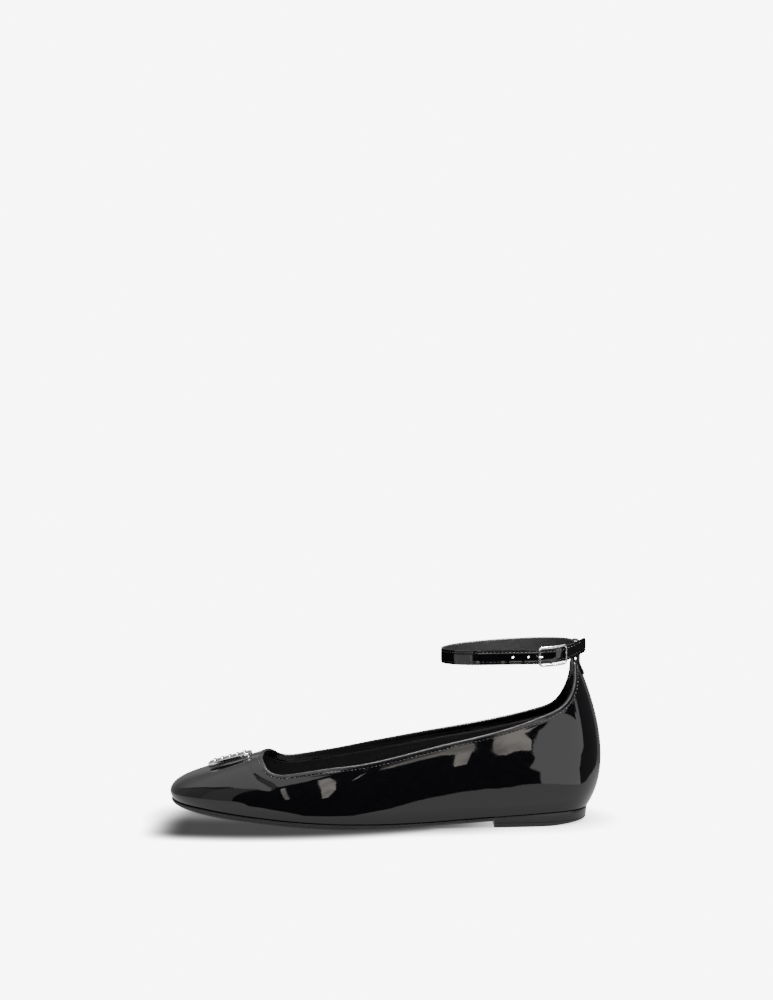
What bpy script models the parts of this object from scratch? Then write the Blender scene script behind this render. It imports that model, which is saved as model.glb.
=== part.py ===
"""A left ballet flat with an ankle strap, in metres: toe toward -X, outer side toward -Y."""
import math

import bmesh
import bpy
import numpy as np
from mathutils import Vector

# Driving sizes
SHOE_LENGTH = 0.250
BALL_WIDTH = 0.084
TOP_HEIGHT = 0.095
TOE_SPRING = 0.0105
HEEL_SEAT_RISE = 0.0060
UPPER_WALL = 0.0016
GAP = 0.0003

# Sole and heel
FOREPART_THICKNESS = 0.0036
WAIST_THICKNESS = 0.0024
SOLE_MARGIN = 0.0006
SOLE_EDGE_ROUND = 0.0012
TREAD_FRONT = 0.42
TREAD_BACK = 0.46
HEEL_BREAST = 0.742
HEEL_ROLL_START = 0.86
HEEL_ROLL = 0.0015
HEEL_TAPER = 0.0008
INSOLE_THICKNESS = 0.0020

# Ankle strap: an ellipse in plan, a little higher at the back, that follows the shoe's own sizes
STRAP_CENTRE = 0.7835
STRAP_HALF_LENGTH = 0.1585 * SHOE_LENGTH
STRAP_HALF_WIDTH = 0.345 * BALL_WIDTH
STRAP_HEIGHT = 0.972 * TOP_HEIGHT
STRAP_PITCH = 0.058
STRAP_BAND = 0.0084
STRAP_THICKNESS = 0.0016
STRAP_BACK_DIP = 0.0014
TAIL_LENGTH = 0.0170
TAIL_RISE = 0.30
TAIL_EASE = 0.004
BUCKLE_SAG = 0.0015
BACK_DIP_TURN = 0.35
BUCKLE_SAG_TURN = 0.55
HOLE_DIAMETER = 0.0020
HOLE_PITCH = 0.0090
HOLE_COUNT = 2

# Buckle
BUCKLE_PLACE = 0.575
BUCKLE_LENGTH = 0.0172
RAIL_DIAMETER = 0.0013
BAR_DIAMETER = 0.0011
PRONG_DIAMETER = 0.0010
BUCKLE_CORNER = 0.0016
PRONG_HOLE = 0.0056
PRONG_SLOT = 0.0040

# Loop at the top of the heel tab
LOOP_WALL = 0.0010
LOOP_HALF_WIDTH = 0.0065

# Ornament on the vamp
ORNAMENT_PLACE = 0.142
ORNAMENT_LENGTH = 0.0255
ORNAMENT_WIDTH = 0.0175
ORNAMENT_HEIGHT = 0.0026
ORNAMENT_BASE = 0.0010
ORNAMENT_RIM = 0.0012
ORNAMENT_SQUARENESS = 5
BAR_COUNT = 5
BAR_WIDTH = 0.0020
BAR_HEIGHT = 0.0015
BAR_SPREAD = 0.70
BAR_REACH = 0.52

# Throat: where the collar's front lies, how far its sides fall back, and how softly they turn
THROAT_FRONT = 0.2143
THROAT_BOW = 0.40
THROAT_SOFTNESS = 0.034

# Mesh counts
STATIONS_AROUND = 96
STATIONS_UP = 12
STATIONS_SOLE = 36
STATIONS_STRAP = 96
FINE_AROUND = 480
FINE_UP = 60

# The last, section by section round the feather line from the heel's back. Along and crest_along are
# shares of SHOE_LENGTH from the toe. Side, flare, crest_side and shoulder_out are shares of BALL_WIDTH,
# and lift, crest and shoulder of TOP_HEIGHT.
LAST = (
    # place, along, side, flare, lift, crest_along, crest_side, crest, shoulder_out, shoulder
    ("heel back", 0.962, 0.000, 0.160, 0.205, 0.927, 0.000, 1.030, 0.108, 0.632),
    ("heel corner outer", 0.933, -0.215, 0.128, 0.205, 0.905, -0.170, 1.020, 0.075, 0.632),
    ("heel side outer", 0.850, -0.318, 0.095, 0.205, 0.840, -0.225, 1.000, 0.030, 0.632),
    ("waist outer", 0.670, -0.362, 0.090, 0.200, 0.680, -0.120, 0.930, 0.040, 0.632),
    ("midfoot outer", 0.520, -0.410, 0.085, 0.180, 0.545, -0.070, 0.796, 0.030, 0.592),
    ("ball outer", 0.370, -0.455, 0.090, 0.150, 0.420, -0.050, 0.640, 0.008, 0.500),
    ("toe side outer", 0.190, -0.425, 0.095, 0.125, 0.300, -0.030, 0.480, -0.055, 0.400),
    ("toe quarter outer", 0.075, -0.325, 0.095, 0.118, 0.250, -0.015, 0.415, -0.135, 0.342),
    ("toe corner outer", 0.026, -0.185, 0.095, 0.115, 0.232, -0.005, 0.394, -0.205, 0.314),
    ("toe tip", 0.006, 0.050, 0.095, 0.115, 0.226, 0.015, 0.389, -0.250, 0.302),
    ("toe corner inner", 0.022, 0.260, 0.095, 0.115, 0.232, 0.035, 0.392, -0.205, 0.300),
    ("toe quarter inner", 0.070, 0.385, 0.095, 0.118, 0.250, 0.040, 0.408, -0.135, 0.312),
    ("toe side inner", 0.165, 0.450, 0.095, 0.125, 0.300, 0.040, 0.470, -0.055, 0.365),
    ("ball inner", 0.310, 0.462, 0.090, 0.150, 0.400, 0.045, 0.640, 0.008, 0.500),
    ("midfoot inner", 0.500, 0.365, 0.090, 0.190, 0.530, 0.055, 0.796, 0.030, 0.592),
    ("waist inner", 0.670, 0.300, 0.095, 0.205, 0.675, 0.110, 0.930, 0.040, 0.632),
    ("heel side inner", 0.850, 0.315, 0.095, 0.205, 0.840, 0.220, 1.000, 0.030, 0.632),
    ("heel corner inner", 0.933, 0.215, 0.128, 0.205, 0.905, 0.170, 1.020, 0.075, 0.632),
)

# The collar as seen from the side: its height on the outer and inner side at places along, in shares
# of TOP_HEIGHT and SHOE_LENGTH.
TOPLINE = (
    # along, outer, inner
    (0.190, 0.345, 0.325),
    (0.218, 0.334, 0.316),
    (0.250, 0.325, 0.317),
    (0.290, 0.333, 0.325),
    (0.340, 0.354, 0.346),
    (0.374, 0.367, 0.362),
    (0.430, 0.384, 0.395),
    (0.600, 0.480, 0.494),
    (0.770, 0.588, 0.574),
    (0.860, 0.673, 0.631),
    (0.905, 0.742, 0.702),
    (0.9255, 0.826, 0.826),
    (0.930, 0.960, 0.960),
)

COLOURS = {
    # name: colour, roughness, metallic
    "patent": ((0.010, 0.010, 0.012), 0.12, 0.0),
    "lining": ((0.012, 0.012, 0.013), 0.60, 0.0),
    "sole": ((0.020, 0.020, 0.021), 0.45, 0.0),
    "silver": ((0.780, 0.780, 0.790), 0.18, 1.0),
    "enamel": ((0.008, 0.008, 0.009), 0.10, 0.0),
}


def clear_scene():
    for thing in list(bpy.data.objects):
        bpy.data.objects.remove(thing)


def smooth(share):
    share = np.clip(share, 0, 1)
    return share * share * (3 - 2 * share)


def spline(knots, values, at, period=None):
    """Smooth curve through the values: closed with a period, otherwise with free ends."""
    knots, values, at = np.asarray(knots, float), np.asarray(values, float), np.asarray(at, float)
    count = len(knots)
    if period:
        steps = np.diff(np.append(knots, knots[0] + period))
        at = knots[0] + (at - knots[0]) % period
        inner = range(count)
    else:
        steps = np.diff(knots)
        inner = range(1, count - 1)
    matrix = np.zeros((count, count))
    right = np.zeros(values.shape)
    if not period:
        matrix[0, 0] = matrix[-1, -1] = 1
    for i in inner:
        before, after = (i - 1) % count, (i + 1) % count
        matrix[i, before] += steps[before]
        matrix[i, i] += 2 * (steps[before] + steps[i])
        matrix[i, after] += steps[i]
        slope_after = (values[after] - values[i]) / steps[i]
        slope_before = (values[i] - values[before]) / steps[before]
        right[i] = 6 * (slope_after - slope_before)
    bend = np.linalg.solve(matrix, right)
    left = np.clip(np.searchsorted(knots, at, side="right") - 1, 0, len(steps) - 1)
    next_one = (left + 1) % count
    step = steps[left][:, None]
    a = (at - knots[left])[:, None]
    b = step - a
    return (
        (bend[left] * b**3 + bend[next_one] * a**3) / (6 * step)
        + (values[left] / step - bend[left] * step / 6) * b
        + (values[next_one] / step - bend[next_one] * step / 6) * a
    )


def tread_height(along):
    """Underside of the sole: toe spring, a flat tread, then the arch up to the heel seat."""
    spring = TOE_SPRING * np.clip((TREAD_FRONT - along) / TREAD_FRONT, 0, 1) ** 1.6
    arch = HEEL_SEAT_RISE * smooth((along - TREAD_BACK) / 0.50) ** 0.9
    return spring + arch


def feather_height(along):
    """Where the upper meets the sole."""
    fullness = smooth(along / 0.10) * (1 - smooth((along - 0.35) / 0.30))
    return tread_height(along) + WAIST_THICKNESS + (FOREPART_THICKNESS - WAIST_THICKNESS) * fullness


def last_sections(count):
    """Foot, two handles and crest of the curve that the upper follows at each place round the last."""
    rows = np.array([row[1:] for row in LAST])
    plan = rows[:, :2] * (SHOE_LENGTH, BALL_WIDTH)
    steps = np.linalg.norm(np.roll(plan, -1, 0) - plan, axis=1)
    knots = np.concatenate([[0], np.cumsum(steps)[:-1]])
    table = spline(knots, rows, np.arange(count) / count * steps.sum(), period=steps.sum())
    along, side, flare, lift, crest_along, crest_side, crest, shoulder_out, shoulder = table.T
    foot = np.column_stack([along * SHOE_LENGTH, side * BALL_WIDTH, feather_height(along)])
    run = np.roll(foot[:, :2], -1, 0) - np.roll(foot[:, :2], 1, 0)
    outward = np.column_stack([-run[:, 1], run[:, 0]]) / np.linalg.norm(run, axis=1)[:, None]
    low = foot + np.column_stack([outward * (flare * BALL_WIDTH)[:, None], lift * TOP_HEIGHT])
    high_plan = foot[:, :2] + outward * (shoulder_out * BALL_WIDTH)[:, None]
    high = np.column_stack([high_plan, shoulder * TOP_HEIGHT])
    top = np.column_stack([crest_along * SHOE_LENGTH, crest_side * BALL_WIDTH, crest * TOP_HEIGHT])
    middle = np.array([SHOE_LENGTH / 2, 0, 0])
    return foot - middle, low - middle, high - middle, top - middle


def section_points(sections, share):
    """Points on each section's cubic curve, share 0 at the foot and 1 at the crest."""
    foot, low, high, top = (part[:, None] for part in sections)
    share = share[..., None]
    rest = 1 - share
    return rest**3 * foot + 3 * rest**2 * share * low + 3 * rest * share**2 * high + share**3 * top


def above_collar(points):
    """How far points lie above the collar and behind the bowed throat, as a share of TOP_HEIGHT."""
    rows = np.array(TOPLINE)
    steps = np.hypot(np.diff(rows[:, 0]) * SHOE_LENGTH, np.diff(rows[:, 1]) * TOP_HEIGHT)
    knots = np.concatenate([[0], np.cumsum(steps)])
    curve = spline(knots, rows, np.linspace(0, knots[-1], 400))
    ahead = np.maximum.accumulate(curve[:, 0]) + np.arange(len(curve)) * 1e-9
    along = points[..., 0] / SHOE_LENGTH + 0.5
    side = points[..., 1] / BALL_WIDTH
    outer, inner = np.interp(along, ahead, curve[:, 1]), np.interp(along, ahead, curve[:, 2])
    inward = (np.clip(side / 0.4, -1, 1) + 1) / 2
    over = points[..., 2] / TOP_HEIGHT - outer - (inner - outer) * inward
    behind = along - THROAT_FRONT - THROAT_BOW * abs(side) ** 3
    blend = np.clip(1 - abs(over - behind) / THROAT_SOFTNESS, 0, 1)
    return np.minimum(over, behind) - THROAT_SOFTNESS / 4 * blend**2


def upper_surface(count_around, count_up):
    """The upper's outer face, from the feather line up to where each section meets the collar."""
    sections = last_sections(count_around)
    shares = np.linspace(0, 1, 400)
    over = above_collar(section_points(sections, np.tile(shares, (count_around, 1))))
    crossed = over > 0
    crossed[:, -1] = True
    first = np.maximum(crossed.argmax(1), 1)
    rows = np.arange(count_around)
    before, after = over[rows, first - 1], over[rows, first]
    part = np.clip(-before / (after - before + 1e-12), 0, 1)
    end = shares[first - 1] + part * (shares[1] - shares[0])
    return section_points(sections, end[:, None] * np.linspace(0, 1, count_up)[None])


def feather_sides(stations):
    """Outer and inner feather line at the given places along, each with its outward direction."""
    foot = last_sections(FINE_AROUND)[0]
    toe = foot[:, 0].argmin()
    places = (stations - 0.5) * SHOE_LENGTH
    sides = []
    for half, sign in ((foot[: toe + 1][::-1], -1), (foot[toe:], 1)):
        order = np.maximum.accumulate(half[:, 0]) + np.arange(len(half)) * 1e-9
        across = np.interp(places, order, half[:, 1])
        slope = np.gradient(half[:, 1]) / np.gradient(order)
        slope = np.interp(places, order, slope)
        outward = np.column_stack([-sign * slope, np.full(len(places), float(sign))])
        outward /= np.linalg.norm(outward, axis=1)[:, None]
        sides.append((np.column_stack([places, across]), outward))
    return sides


def slab_ring(sides, offset, heights, cut_ends=()):
    """One closed ring: down the first side and back up the second. A cut end stays in its plane."""
    rows = []
    for line, outward in sides:
        plan = line + outward * offset
        for end in cut_ends:
            plan[end, 0] = line[end, 0]
        rows.append(np.column_stack([plan, heights]))
    return np.vstack([rows[0], rows[1][::-1]])


def outward_mesh(mesh):
    work = bmesh.new()
    work.from_mesh(mesh)
    bmesh.ops.recalc_face_normals(work, faces=work.faces)
    work.to_mesh(mesh)
    work.free()
    return mesh


def slab_mesh(name, rings):
    """A closed plate lofted through rings, with its two faces laid as strips from side to side."""
    mesh = bpy.data.meshes.new(name)
    count = len(rings[0])
    faces = []
    for level in range(len(rings) - 1):
        low, high = level * count, (level + 1) * count
        for i in range(count):
            j = (i + 1) % count
            faces.append((low + i, low + j, high + j, high + i))
    for low in (0, (len(rings) - 1) * count):
        for i in range(count // 2 - 1):
            faces.append((low + i, low + i + 1, low + count - 2 - i, low + count - 1 - i))
    mesh.from_pydata(np.vstack(rings).tolist(), [], faces)
    return outward_mesh(mesh)


def sweep_mesh(name, sections, closed_ends=True):
    """A band lofted through sections of equal count, with flat ends or left open as a tube."""
    mesh = bpy.data.meshes.new(name)
    stations, count = sections.shape[:2]
    faces = []
    for k in range(stations - 1):
        for i in range(count):
            j = (i + 1) % count
            faces.append((k * count + i, k * count + j, (k + 1) * count + j, (k + 1) * count + i))
    if closed_ends:
        faces.append(tuple(range(count)))
        faces.append(tuple(range((stations - 1) * count, stations * count)))
    mesh.from_pydata(sections.reshape(-1, 3).tolist(), [], faces)
    return outward_mesh(mesh)


def make_material(name):
    colour, roughness, metallic = COLOURS[name]
    material = bpy.data.materials.get(name) or bpy.data.materials.new(name)
    material.use_nodes = True
    shader = material.node_tree.nodes["Principled BSDF"]
    shader.inputs["Base Color"].default_value = (*colour, 1)
    shader.inputs["Roughness"].default_value = roughness
    shader.inputs["Metallic"].default_value = metallic
    return material


def add_object(name, mesh, material, collection):
    thing = bpy.data.objects.new(name, mesh)
    collection.objects.link(thing)
    mesh.materials.clear()
    mesh.materials.append(make_material(material))
    mesh.shade_smooth()
    mesh.set_sharp_from_angle(angle=math.radians(35))
    return thing


def add_tube(name, points, diameter, material, collection, cyclic=False):
    """A round bar along points, made a mesh so that it can be joined or cut."""
    curve = bpy.data.curves.new(name, "CURVE")
    curve.dimensions = "3D"
    curve.bevel_depth = diameter / 2
    curve.bevel_resolution = 2
    curve.use_fill_caps = True
    line = curve.splines.new("POLY")
    line.points.add(len(points) - 1)
    line.points.foreach_set("co", np.column_stack([points, np.ones(len(points))]).ravel())
    line.use_cyclic_u = cyclic
    guide = bpy.data.objects.new(name + "_guide", curve)
    collection.objects.link(guide)
    bpy.context.view_layer.update()
    mesh = bpy.data.meshes.new_from_object(guide.evaluated_get(bpy.context.evaluated_depsgraph_get()))
    bpy.data.objects.remove(guide)
    bpy.data.curves.remove(curve)
    work = bmesh.new()
    work.from_mesh(mesh)
    bmesh.ops.remove_doubles(work, verts=work.verts, dist=0.00001)
    bmesh.ops.recalc_face_normals(work, faces=work.faces)
    work.to_mesh(mesh)
    work.free()
    mesh.name = name
    return add_object(name, mesh, material, collection)


def cut_or_join(thing, tool, operation, tools):
    """Apply tool to thing with a Boolean and put the tool away as a wire guide."""
    for home in list(tool.users_collection):
        home.objects.unlink(tool)
    tools.objects.link(tool)
    tool.hide_render = True
    tool.display_type = "WIRE"
    modifier = thing.modifiers.new(tool.name, "BOOLEAN")
    modifier.object = tool
    modifier.operation = operation
    modifier.solver = "EXACT"


def make_upper(model):
    points = upper_surface(STATIONS_AROUND, STATIONS_UP)
    faces = []
    for i in range(STATIONS_AROUND):
        j = (i + 1) % STATIONS_AROUND
        for k in range(STATIONS_UP - 1):
            low, side = i * STATIONS_UP + k, j * STATIONS_UP + k
            faces.append((low, low + 1, side + 1, side))
    mesh = bpy.data.meshes.new("upper")
    mesh.from_pydata(points.reshape(-1, 3).tolist(), [], faces)
    upper = add_object("upper", mesh, "patent", model)
    wall = upper.modifiers.new("wall", "SOLIDIFY")
    wall.thickness = UPPER_WALL
    wall.offset = -1
    wall.use_even_offset = True
    wall.use_quality_normals = True


def tip_and_back():
    foot = last_sections(FINE_AROUND)[0][:, 0] / SHOE_LENGTH + 0.5
    inset = 0.0003
    return foot.min() + inset, foot.max() - inset


def make_outsole(model):
    """From the toe to the heel breast, with a rounded lower edge and a flat tread."""
    start = tip_and_back()[0]
    stations = start + (HEEL_BREAST - GAP / SHOE_LENGTH - start) * np.linspace(0, 1, STATIONS_SOLE) ** 2
    sides = feather_sides(stations)
    top = feather_height(stations) - GAP
    bottom = tread_height(stations)
    radius = SOLE_EDGE_ROUND
    profile = (
        # offset, height above the tread
        (SOLE_MARGIN - radius, 0),
        (SOLE_MARGIN - 0.4 * radius, 0.18 * radius),
        (SOLE_MARGIN, 0.75 * radius),
    )
    rings = [slab_ring(sides, offset, bottom + rise, cut_ends=[-1]) for offset, rise in profile]
    rings.append(slab_ring(sides, SOLE_MARGIN, top - 0.3 * radius, cut_ends=[-1]))
    rings.append(slab_ring(sides, SOLE_MARGIN - 0.3 * radius, top, cut_ends=[-1]))
    add_object("outsole", slab_mesh("outsole", rings), "sole", model)


def make_heel(model):
    """D-shaped block from the breast to the back, flat under its front and rolled up behind."""
    back = tip_and_back()[1]
    stations = back - (back - HEEL_BREAST) * np.linspace(1, 0, STATIONS_SOLE // 2) ** 2
    sides = feather_sides(stations)
    top = feather_height(stations) - GAP
    roll = HEEL_ROLL * smooth((stations - HEEL_ROLL_START) / (back - HEEL_ROLL_START))
    rings = (
        slab_ring(sides, -HEEL_TAPER - 0.5 * SOLE_EDGE_ROUND, roll, cut_ends=[0]),
        slab_ring(sides, -HEEL_TAPER, roll + 0.4 * SOLE_EDGE_ROUND, cut_ends=[0]),
        slab_ring(sides, 0.0, top - 0.3 * SOLE_EDGE_ROUND, cut_ends=[0]),
        slab_ring(sides, -0.3 * SOLE_EDGE_ROUND, top, cut_ends=[0]),
    )
    add_object("heel", slab_mesh("heel", rings), "sole", model)


def make_insole(model):
    start, back = tip_and_back()
    turn = np.linspace(0, math.pi, STATIONS_SOLE)
    stations = start + (back - start) * (1 - np.cos(turn)) / 2
    sides = feather_sides(stations)
    seat = feather_height(stations)
    inset = -(UPPER_WALL + 2 * GAP)
    rings = [slab_ring(sides, inset, seat + rise) for rise in (0, INSOLE_THICKNESS)]
    add_object("insole", slab_mesh("insole", rings), "lining", model)


def strap_turn():
    """Angles round the strap's ellipse from the buckle bar, back first, and the length run so far."""
    start = -math.acos(BUCKLE_PLACE)
    turn = np.linspace(start, start + 2 * math.pi, 1441)
    step = turn[1] - turn[0]
    speed = np.hypot(STRAP_HALF_LENGTH * np.sin(turn), STRAP_HALF_WIDTH * np.cos(turn))
    run = np.concatenate([[0], np.cumsum((speed[1:] + speed[:-1]) / 2 * step)])
    return turn, run


def strap_frames(places):
    """Middle of the strap's outer face and its outward direction, at lengths run from the bar.

    Past one whole turn and the buckle's half length the strap leaves the ellipse straight, as its tail,
    which rises. The strap dips into the loop at its back, and sags under the buckle's weight.
    """
    places = np.asarray(places, float)
    turn, run = strap_turn()
    whole = run[-1]
    held = np.minimum(places, whole + BUCKLE_LENGTH / 2)
    angle = np.interp(np.where(held > whole, held - whole, held), run, turn)
    angle = (angle + math.pi) % (2 * math.pi) - math.pi
    tangent = np.column_stack([-STRAP_HALF_LENGTH * np.sin(angle), STRAP_HALF_WIDTH * np.cos(angle)])
    tangent /= np.linalg.norm(tangent, axis=1)[:, None]
    free = places - held
    across = np.column_stack([STRAP_HALF_LENGTH * np.cos(angle), STRAP_HALF_WIDTH * np.sin(angle)])
    plan = across + tangent * free[:, None]
    plan[:, 0] += (STRAP_CENTRE - 0.5) * SHOE_LENGTH
    height = STRAP_HEIGHT + STRAP_BAND / 2 + STRAP_PITCH * across[:, 0] + TAIL_RISE * free**2 / (free + TAIL_EASE)
    height -= STRAP_BACK_DIP * np.exp(-((angle / BACK_DIP_TURN) ** 2))
    height -= BUCKLE_SAG * np.exp(-(((angle + math.acos(BUCKLE_PLACE)) / BUCKLE_SAG_TURN) ** 2))
    outward = np.column_stack([tangent[:, 1], -tangent[:, 0], np.zeros(len(angle))])
    return np.column_stack([plan, height]), outward


def strap_lap(places):
    """Where the strap's first stretch lies, inside its last one, easing out past the buckle."""
    eased = smooth((np.asarray(places) - BUCKLE_LENGTH / 2 - 0.002) / 0.028)
    return -(STRAP_THICKNESS + GAP) * (1 - eased)


def strap_points(places, depth, height):
    """Points at a depth out of the strap's outer face and a height from its middle line."""
    middle, outward = strap_frames(places)
    points = middle + outward * np.broadcast_to(depth, len(middle))[:, None]
    points[:, 2] += height
    return points


def make_strap(model, tools):
    """One leather strap: it starts at the bar, runs round the ankle and ends past the buckle."""
    whole = strap_turn()[1][-1]
    first = BAR_DIAMETER / 2 + GAP
    last = whole + BUCKLE_LENGTH / 2 + TAIL_LENGTH
    places = np.linspace(first, last, STATIONS_STRAP)
    lap = strap_lap(places)
    half, thick, soft = STRAP_BAND / 2, STRAP_THICKNESS, 0.15 * STRAP_THICKNESS
    section = (
        # depth, height
        (0, -half + soft),
        (0, half - soft),
        (-soft, half),
        (-thick + soft, half),
        (-thick, half - soft),
        (-thick, -half + soft),
        (-thick + soft, -half),
        (-soft, -half),
    )
    rows = [strap_points(places, lap + depth, height) for depth, height in section]
    mesh = sweep_mesh("ankle_strap", np.stack(rows, 1))
    strap = add_object("ankle_strap", mesh, "patent", model)
    for index in range(HOLE_COUNT + 1):
        place = whole - PRONG_HOLE - index * HOLE_PITCH
        middle, outward = strap_frames([place])
        stretch = PRONG_SLOT / HOLE_DIAMETER if index == 0 else 1
        work = bmesh.new()
        bmesh.ops.create_cone(
            work, cap_ends=True, segments=16, radius1=HOLE_DIAMETER / 2, radius2=HOLE_DIAMETER / 2, depth=0.006
        )
        bmesh.ops.scale(work, vec=(1, stretch, 1), verts=work.verts)
        punch = bpy.data.meshes.new(f"punch_{index}")
        work.to_mesh(punch)
        work.free()
        tool = add_object(f"punch_{index}", punch, "lining", tools)
        tool.location = Vector(middle[0])
        tool.rotation_euler = Vector(outward[0]).to_track_quat("Z", "X").to_euler()
        cut_or_join(strap, tool, "DIFFERENCE", tools)


def rounded_loop(half_long, half_high, corner, steps=5):
    """Corner arcs of a rounded rectangle, as (along, height) pairs in order."""
    pairs = []
    for quarter, (right, up) in enumerate(((1, 1), (-1, 1), (-1, -1), (1, -1))):
        for k in range(steps):
            angle = (quarter + k / (steps - 1)) * math.pi / 2
            along = right * (half_long - corner) + corner * math.cos(angle)
            pairs.append((along, up * (half_high - corner) + corner * math.sin(angle)))
    return np.array(pairs)


def add_between(pairs, longest):
    """Extra points on the straight runs, so that a frame bent round the ankle stays smooth."""
    points = []
    for here, there in zip(pairs, np.roll(pairs, -1, 0)):
        parts = max(1, math.ceil(np.linalg.norm(there - here) / longest))
        points += [here + (there - here) * k / parts for k in range(parts)]
    return np.array(points)


def make_buckle(model, tools):
    """Frame outside the strap, bar under its last layer, prong through it and over the front rail."""
    whole = strap_turn()[1][-1]
    rail_depth = GAP + RAIL_DIAMETER / 2
    half_high = STRAP_BAND / 2 + GAP + BAR_DIAMETER / 2
    loop = add_between(rounded_loop(BUCKLE_LENGTH / 2, half_high, BUCKLE_CORNER), 0.0025)
    points = [strap_points([whole + along], rail_depth, height)[0] for along, height in loop]
    frame = add_tube("buckle_frame", points, RAIL_DIAMETER, "silver", model, cyclic=True)

    reach = GAP + BAR_DIAMETER / 2
    bend = [(STRAP_BAND / 2 + reach * math.cos(a), -STRAP_THICKNESS - reach * math.sin(a))
            for a in np.linspace(0, math.pi / 2, 5)]
    side = [(half_high, rail_depth)] + bend
    line = side + [(-height, depth) for height, depth in reversed(side)]
    points = [strap_points([whole], depth, height)[0] for height, depth in line]
    bar = add_tube("buckle_bar", points, BAR_DIAMETER, "silver", tools)
    cut_or_join(frame, bar, "UNION", tools)

    bar_depth = -STRAP_THICKNESS - reach
    hook = BAR_DIAMETER / 2 + GAP + PRONG_DIAMETER / 2
    over = rail_depth + RAIL_DIAMETER / 2 + GAP + PRONG_DIAMETER / 2
    front = BUCKLE_LENGTH / 2
    route = [(hook * math.cos(a), bar_depth + hook * math.sin(a)) for a in np.linspace(4.5, 3.3, 5)]
    route += [
        # along, depth
        (-0.22 * front, bar_depth),
        (-PRONG_HOLE + 0.45 * PRONG_SLOT, bar_depth + 0.1 * hook),
        (-PRONG_HOLE + 0.15 * PRONG_SLOT, -0.85 * STRAP_THICKNESS),
        (-PRONG_HOLE - 0.15 * PRONG_SLOT, -0.12 * STRAP_THICKNESS),
        (-PRONG_HOLE - 0.45 * PRONG_SLOT, 0.45 * over),
        (-0.86 * front, 0.92 * over),
        (-front, over),
        (-front - RAIL_DIAMETER / 2 - PRONG_DIAMETER / 2, 0.86 * over),
    ]
    points = [strap_points([whole + along], depth, 0)[0] for along, depth in route]
    add_tube("buckle_prong", points, PRONG_DIAMETER, "silver", model)


def make_back_loop(model):
    """The tab's fold, a flat tube round the strap at the back of the ankle."""
    turn, run = strap_turn()
    back = np.interp(0, turn, run)
    places = back + np.linspace(-LOOP_HALF_WIDTH, LOOP_HALF_WIDTH, 9)
    lap = strap_lap(places)
    space = GAP + LOOP_WALL
    section = rounded_loop(STRAP_BAND / 2 + space, STRAP_THICKNESS / 2 + space, 1.1 * space, steps=4)
    rows = [strap_points(places, lap - STRAP_THICKNESS / 2 + depth, height) for height, depth in section]
    mesh = sweep_mesh("back_loop", np.stack(rows, 1), closed_ends=False)
    loop = add_object("back_loop", mesh, "patent", model)
    wall = loop.modifiers.new("wall", "SOLIDIFY")
    wall.thickness = LOOP_WALL
    wall.offset = -1
    wall.use_even_offset = True


def ornament_seat():
    """Frame and bowl of the vamp under the ornament: its middle, three directions and the bowl's terms."""
    points = upper_surface(FINE_AROUND, FINE_UP).reshape(-1, 3)
    place = (ORNAMENT_PLACE - 0.5) * SHOE_LENGTH
    near = (abs(points[:, 0] - place) < 0.55 * ORNAMENT_LENGTH) & (abs(points[:, 1]) < 0.6 * ORNAMENT_WIDTH)
    near &= points[:, 2] > 0.25 * TOP_HEIGHT
    points = points[near]
    terms = np.column_stack([np.ones(len(points)), points[:, 0] - place, points[:, 1]])
    level, slope, tilt = np.linalg.lstsq(terms, points[:, 2], rcond=None)[0]
    ahead = np.array([1, 0, slope]) / math.hypot(1, slope)
    up = np.cross(ahead, np.array([0, 1, tilt]))
    up /= np.linalg.norm(up)
    across = np.cross(up, ahead)
    middle = np.array([place, 0, level])
    local = (points - middle) @ np.column_stack([ahead, across, up])
    bowl_terms = np.column_stack([np.ones(len(local)), local[:, :2], local[:, :2] ** 2])
    bowl = np.linalg.lstsq(bowl_terms, local[:, 2], rcond=None)[0]
    lift = (local[:, 2] - bowl_terms @ bowl).max() + GAP
    return middle, np.array([ahead, across, up]), bowl, lift


def ornament_points(seat, plan, heights):
    middle, directions, bowl, lift = seat
    plan = np.asarray(plan, float)
    base = np.column_stack([np.ones(len(plan)), plan, plan**2]) @ bowl + lift
    return middle + np.column_stack([plan, base + heights]) @ directions


def ornament_ring(seat, inset, height):
    """One ring of the plaque's outline, a squared oval, from its toe end round to its toe end."""
    half_long, half_wide = ORNAMENT_LENGTH / 2 - inset, ORNAMENT_WIDTH / 2 - inset
    turn = np.linspace(0.04, math.pi - 0.04, 18)
    power = 2 / ORNAMENT_SQUARENESS
    along = -np.sign(np.cos(turn)) * abs(np.cos(turn)) ** power * half_long
    across = np.sin(turn) ** power * half_wide
    plan = np.vstack([np.column_stack([along, -across]), np.column_stack([along, across])[::-1]])
    return ornament_points(seat, plan, height)


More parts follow.
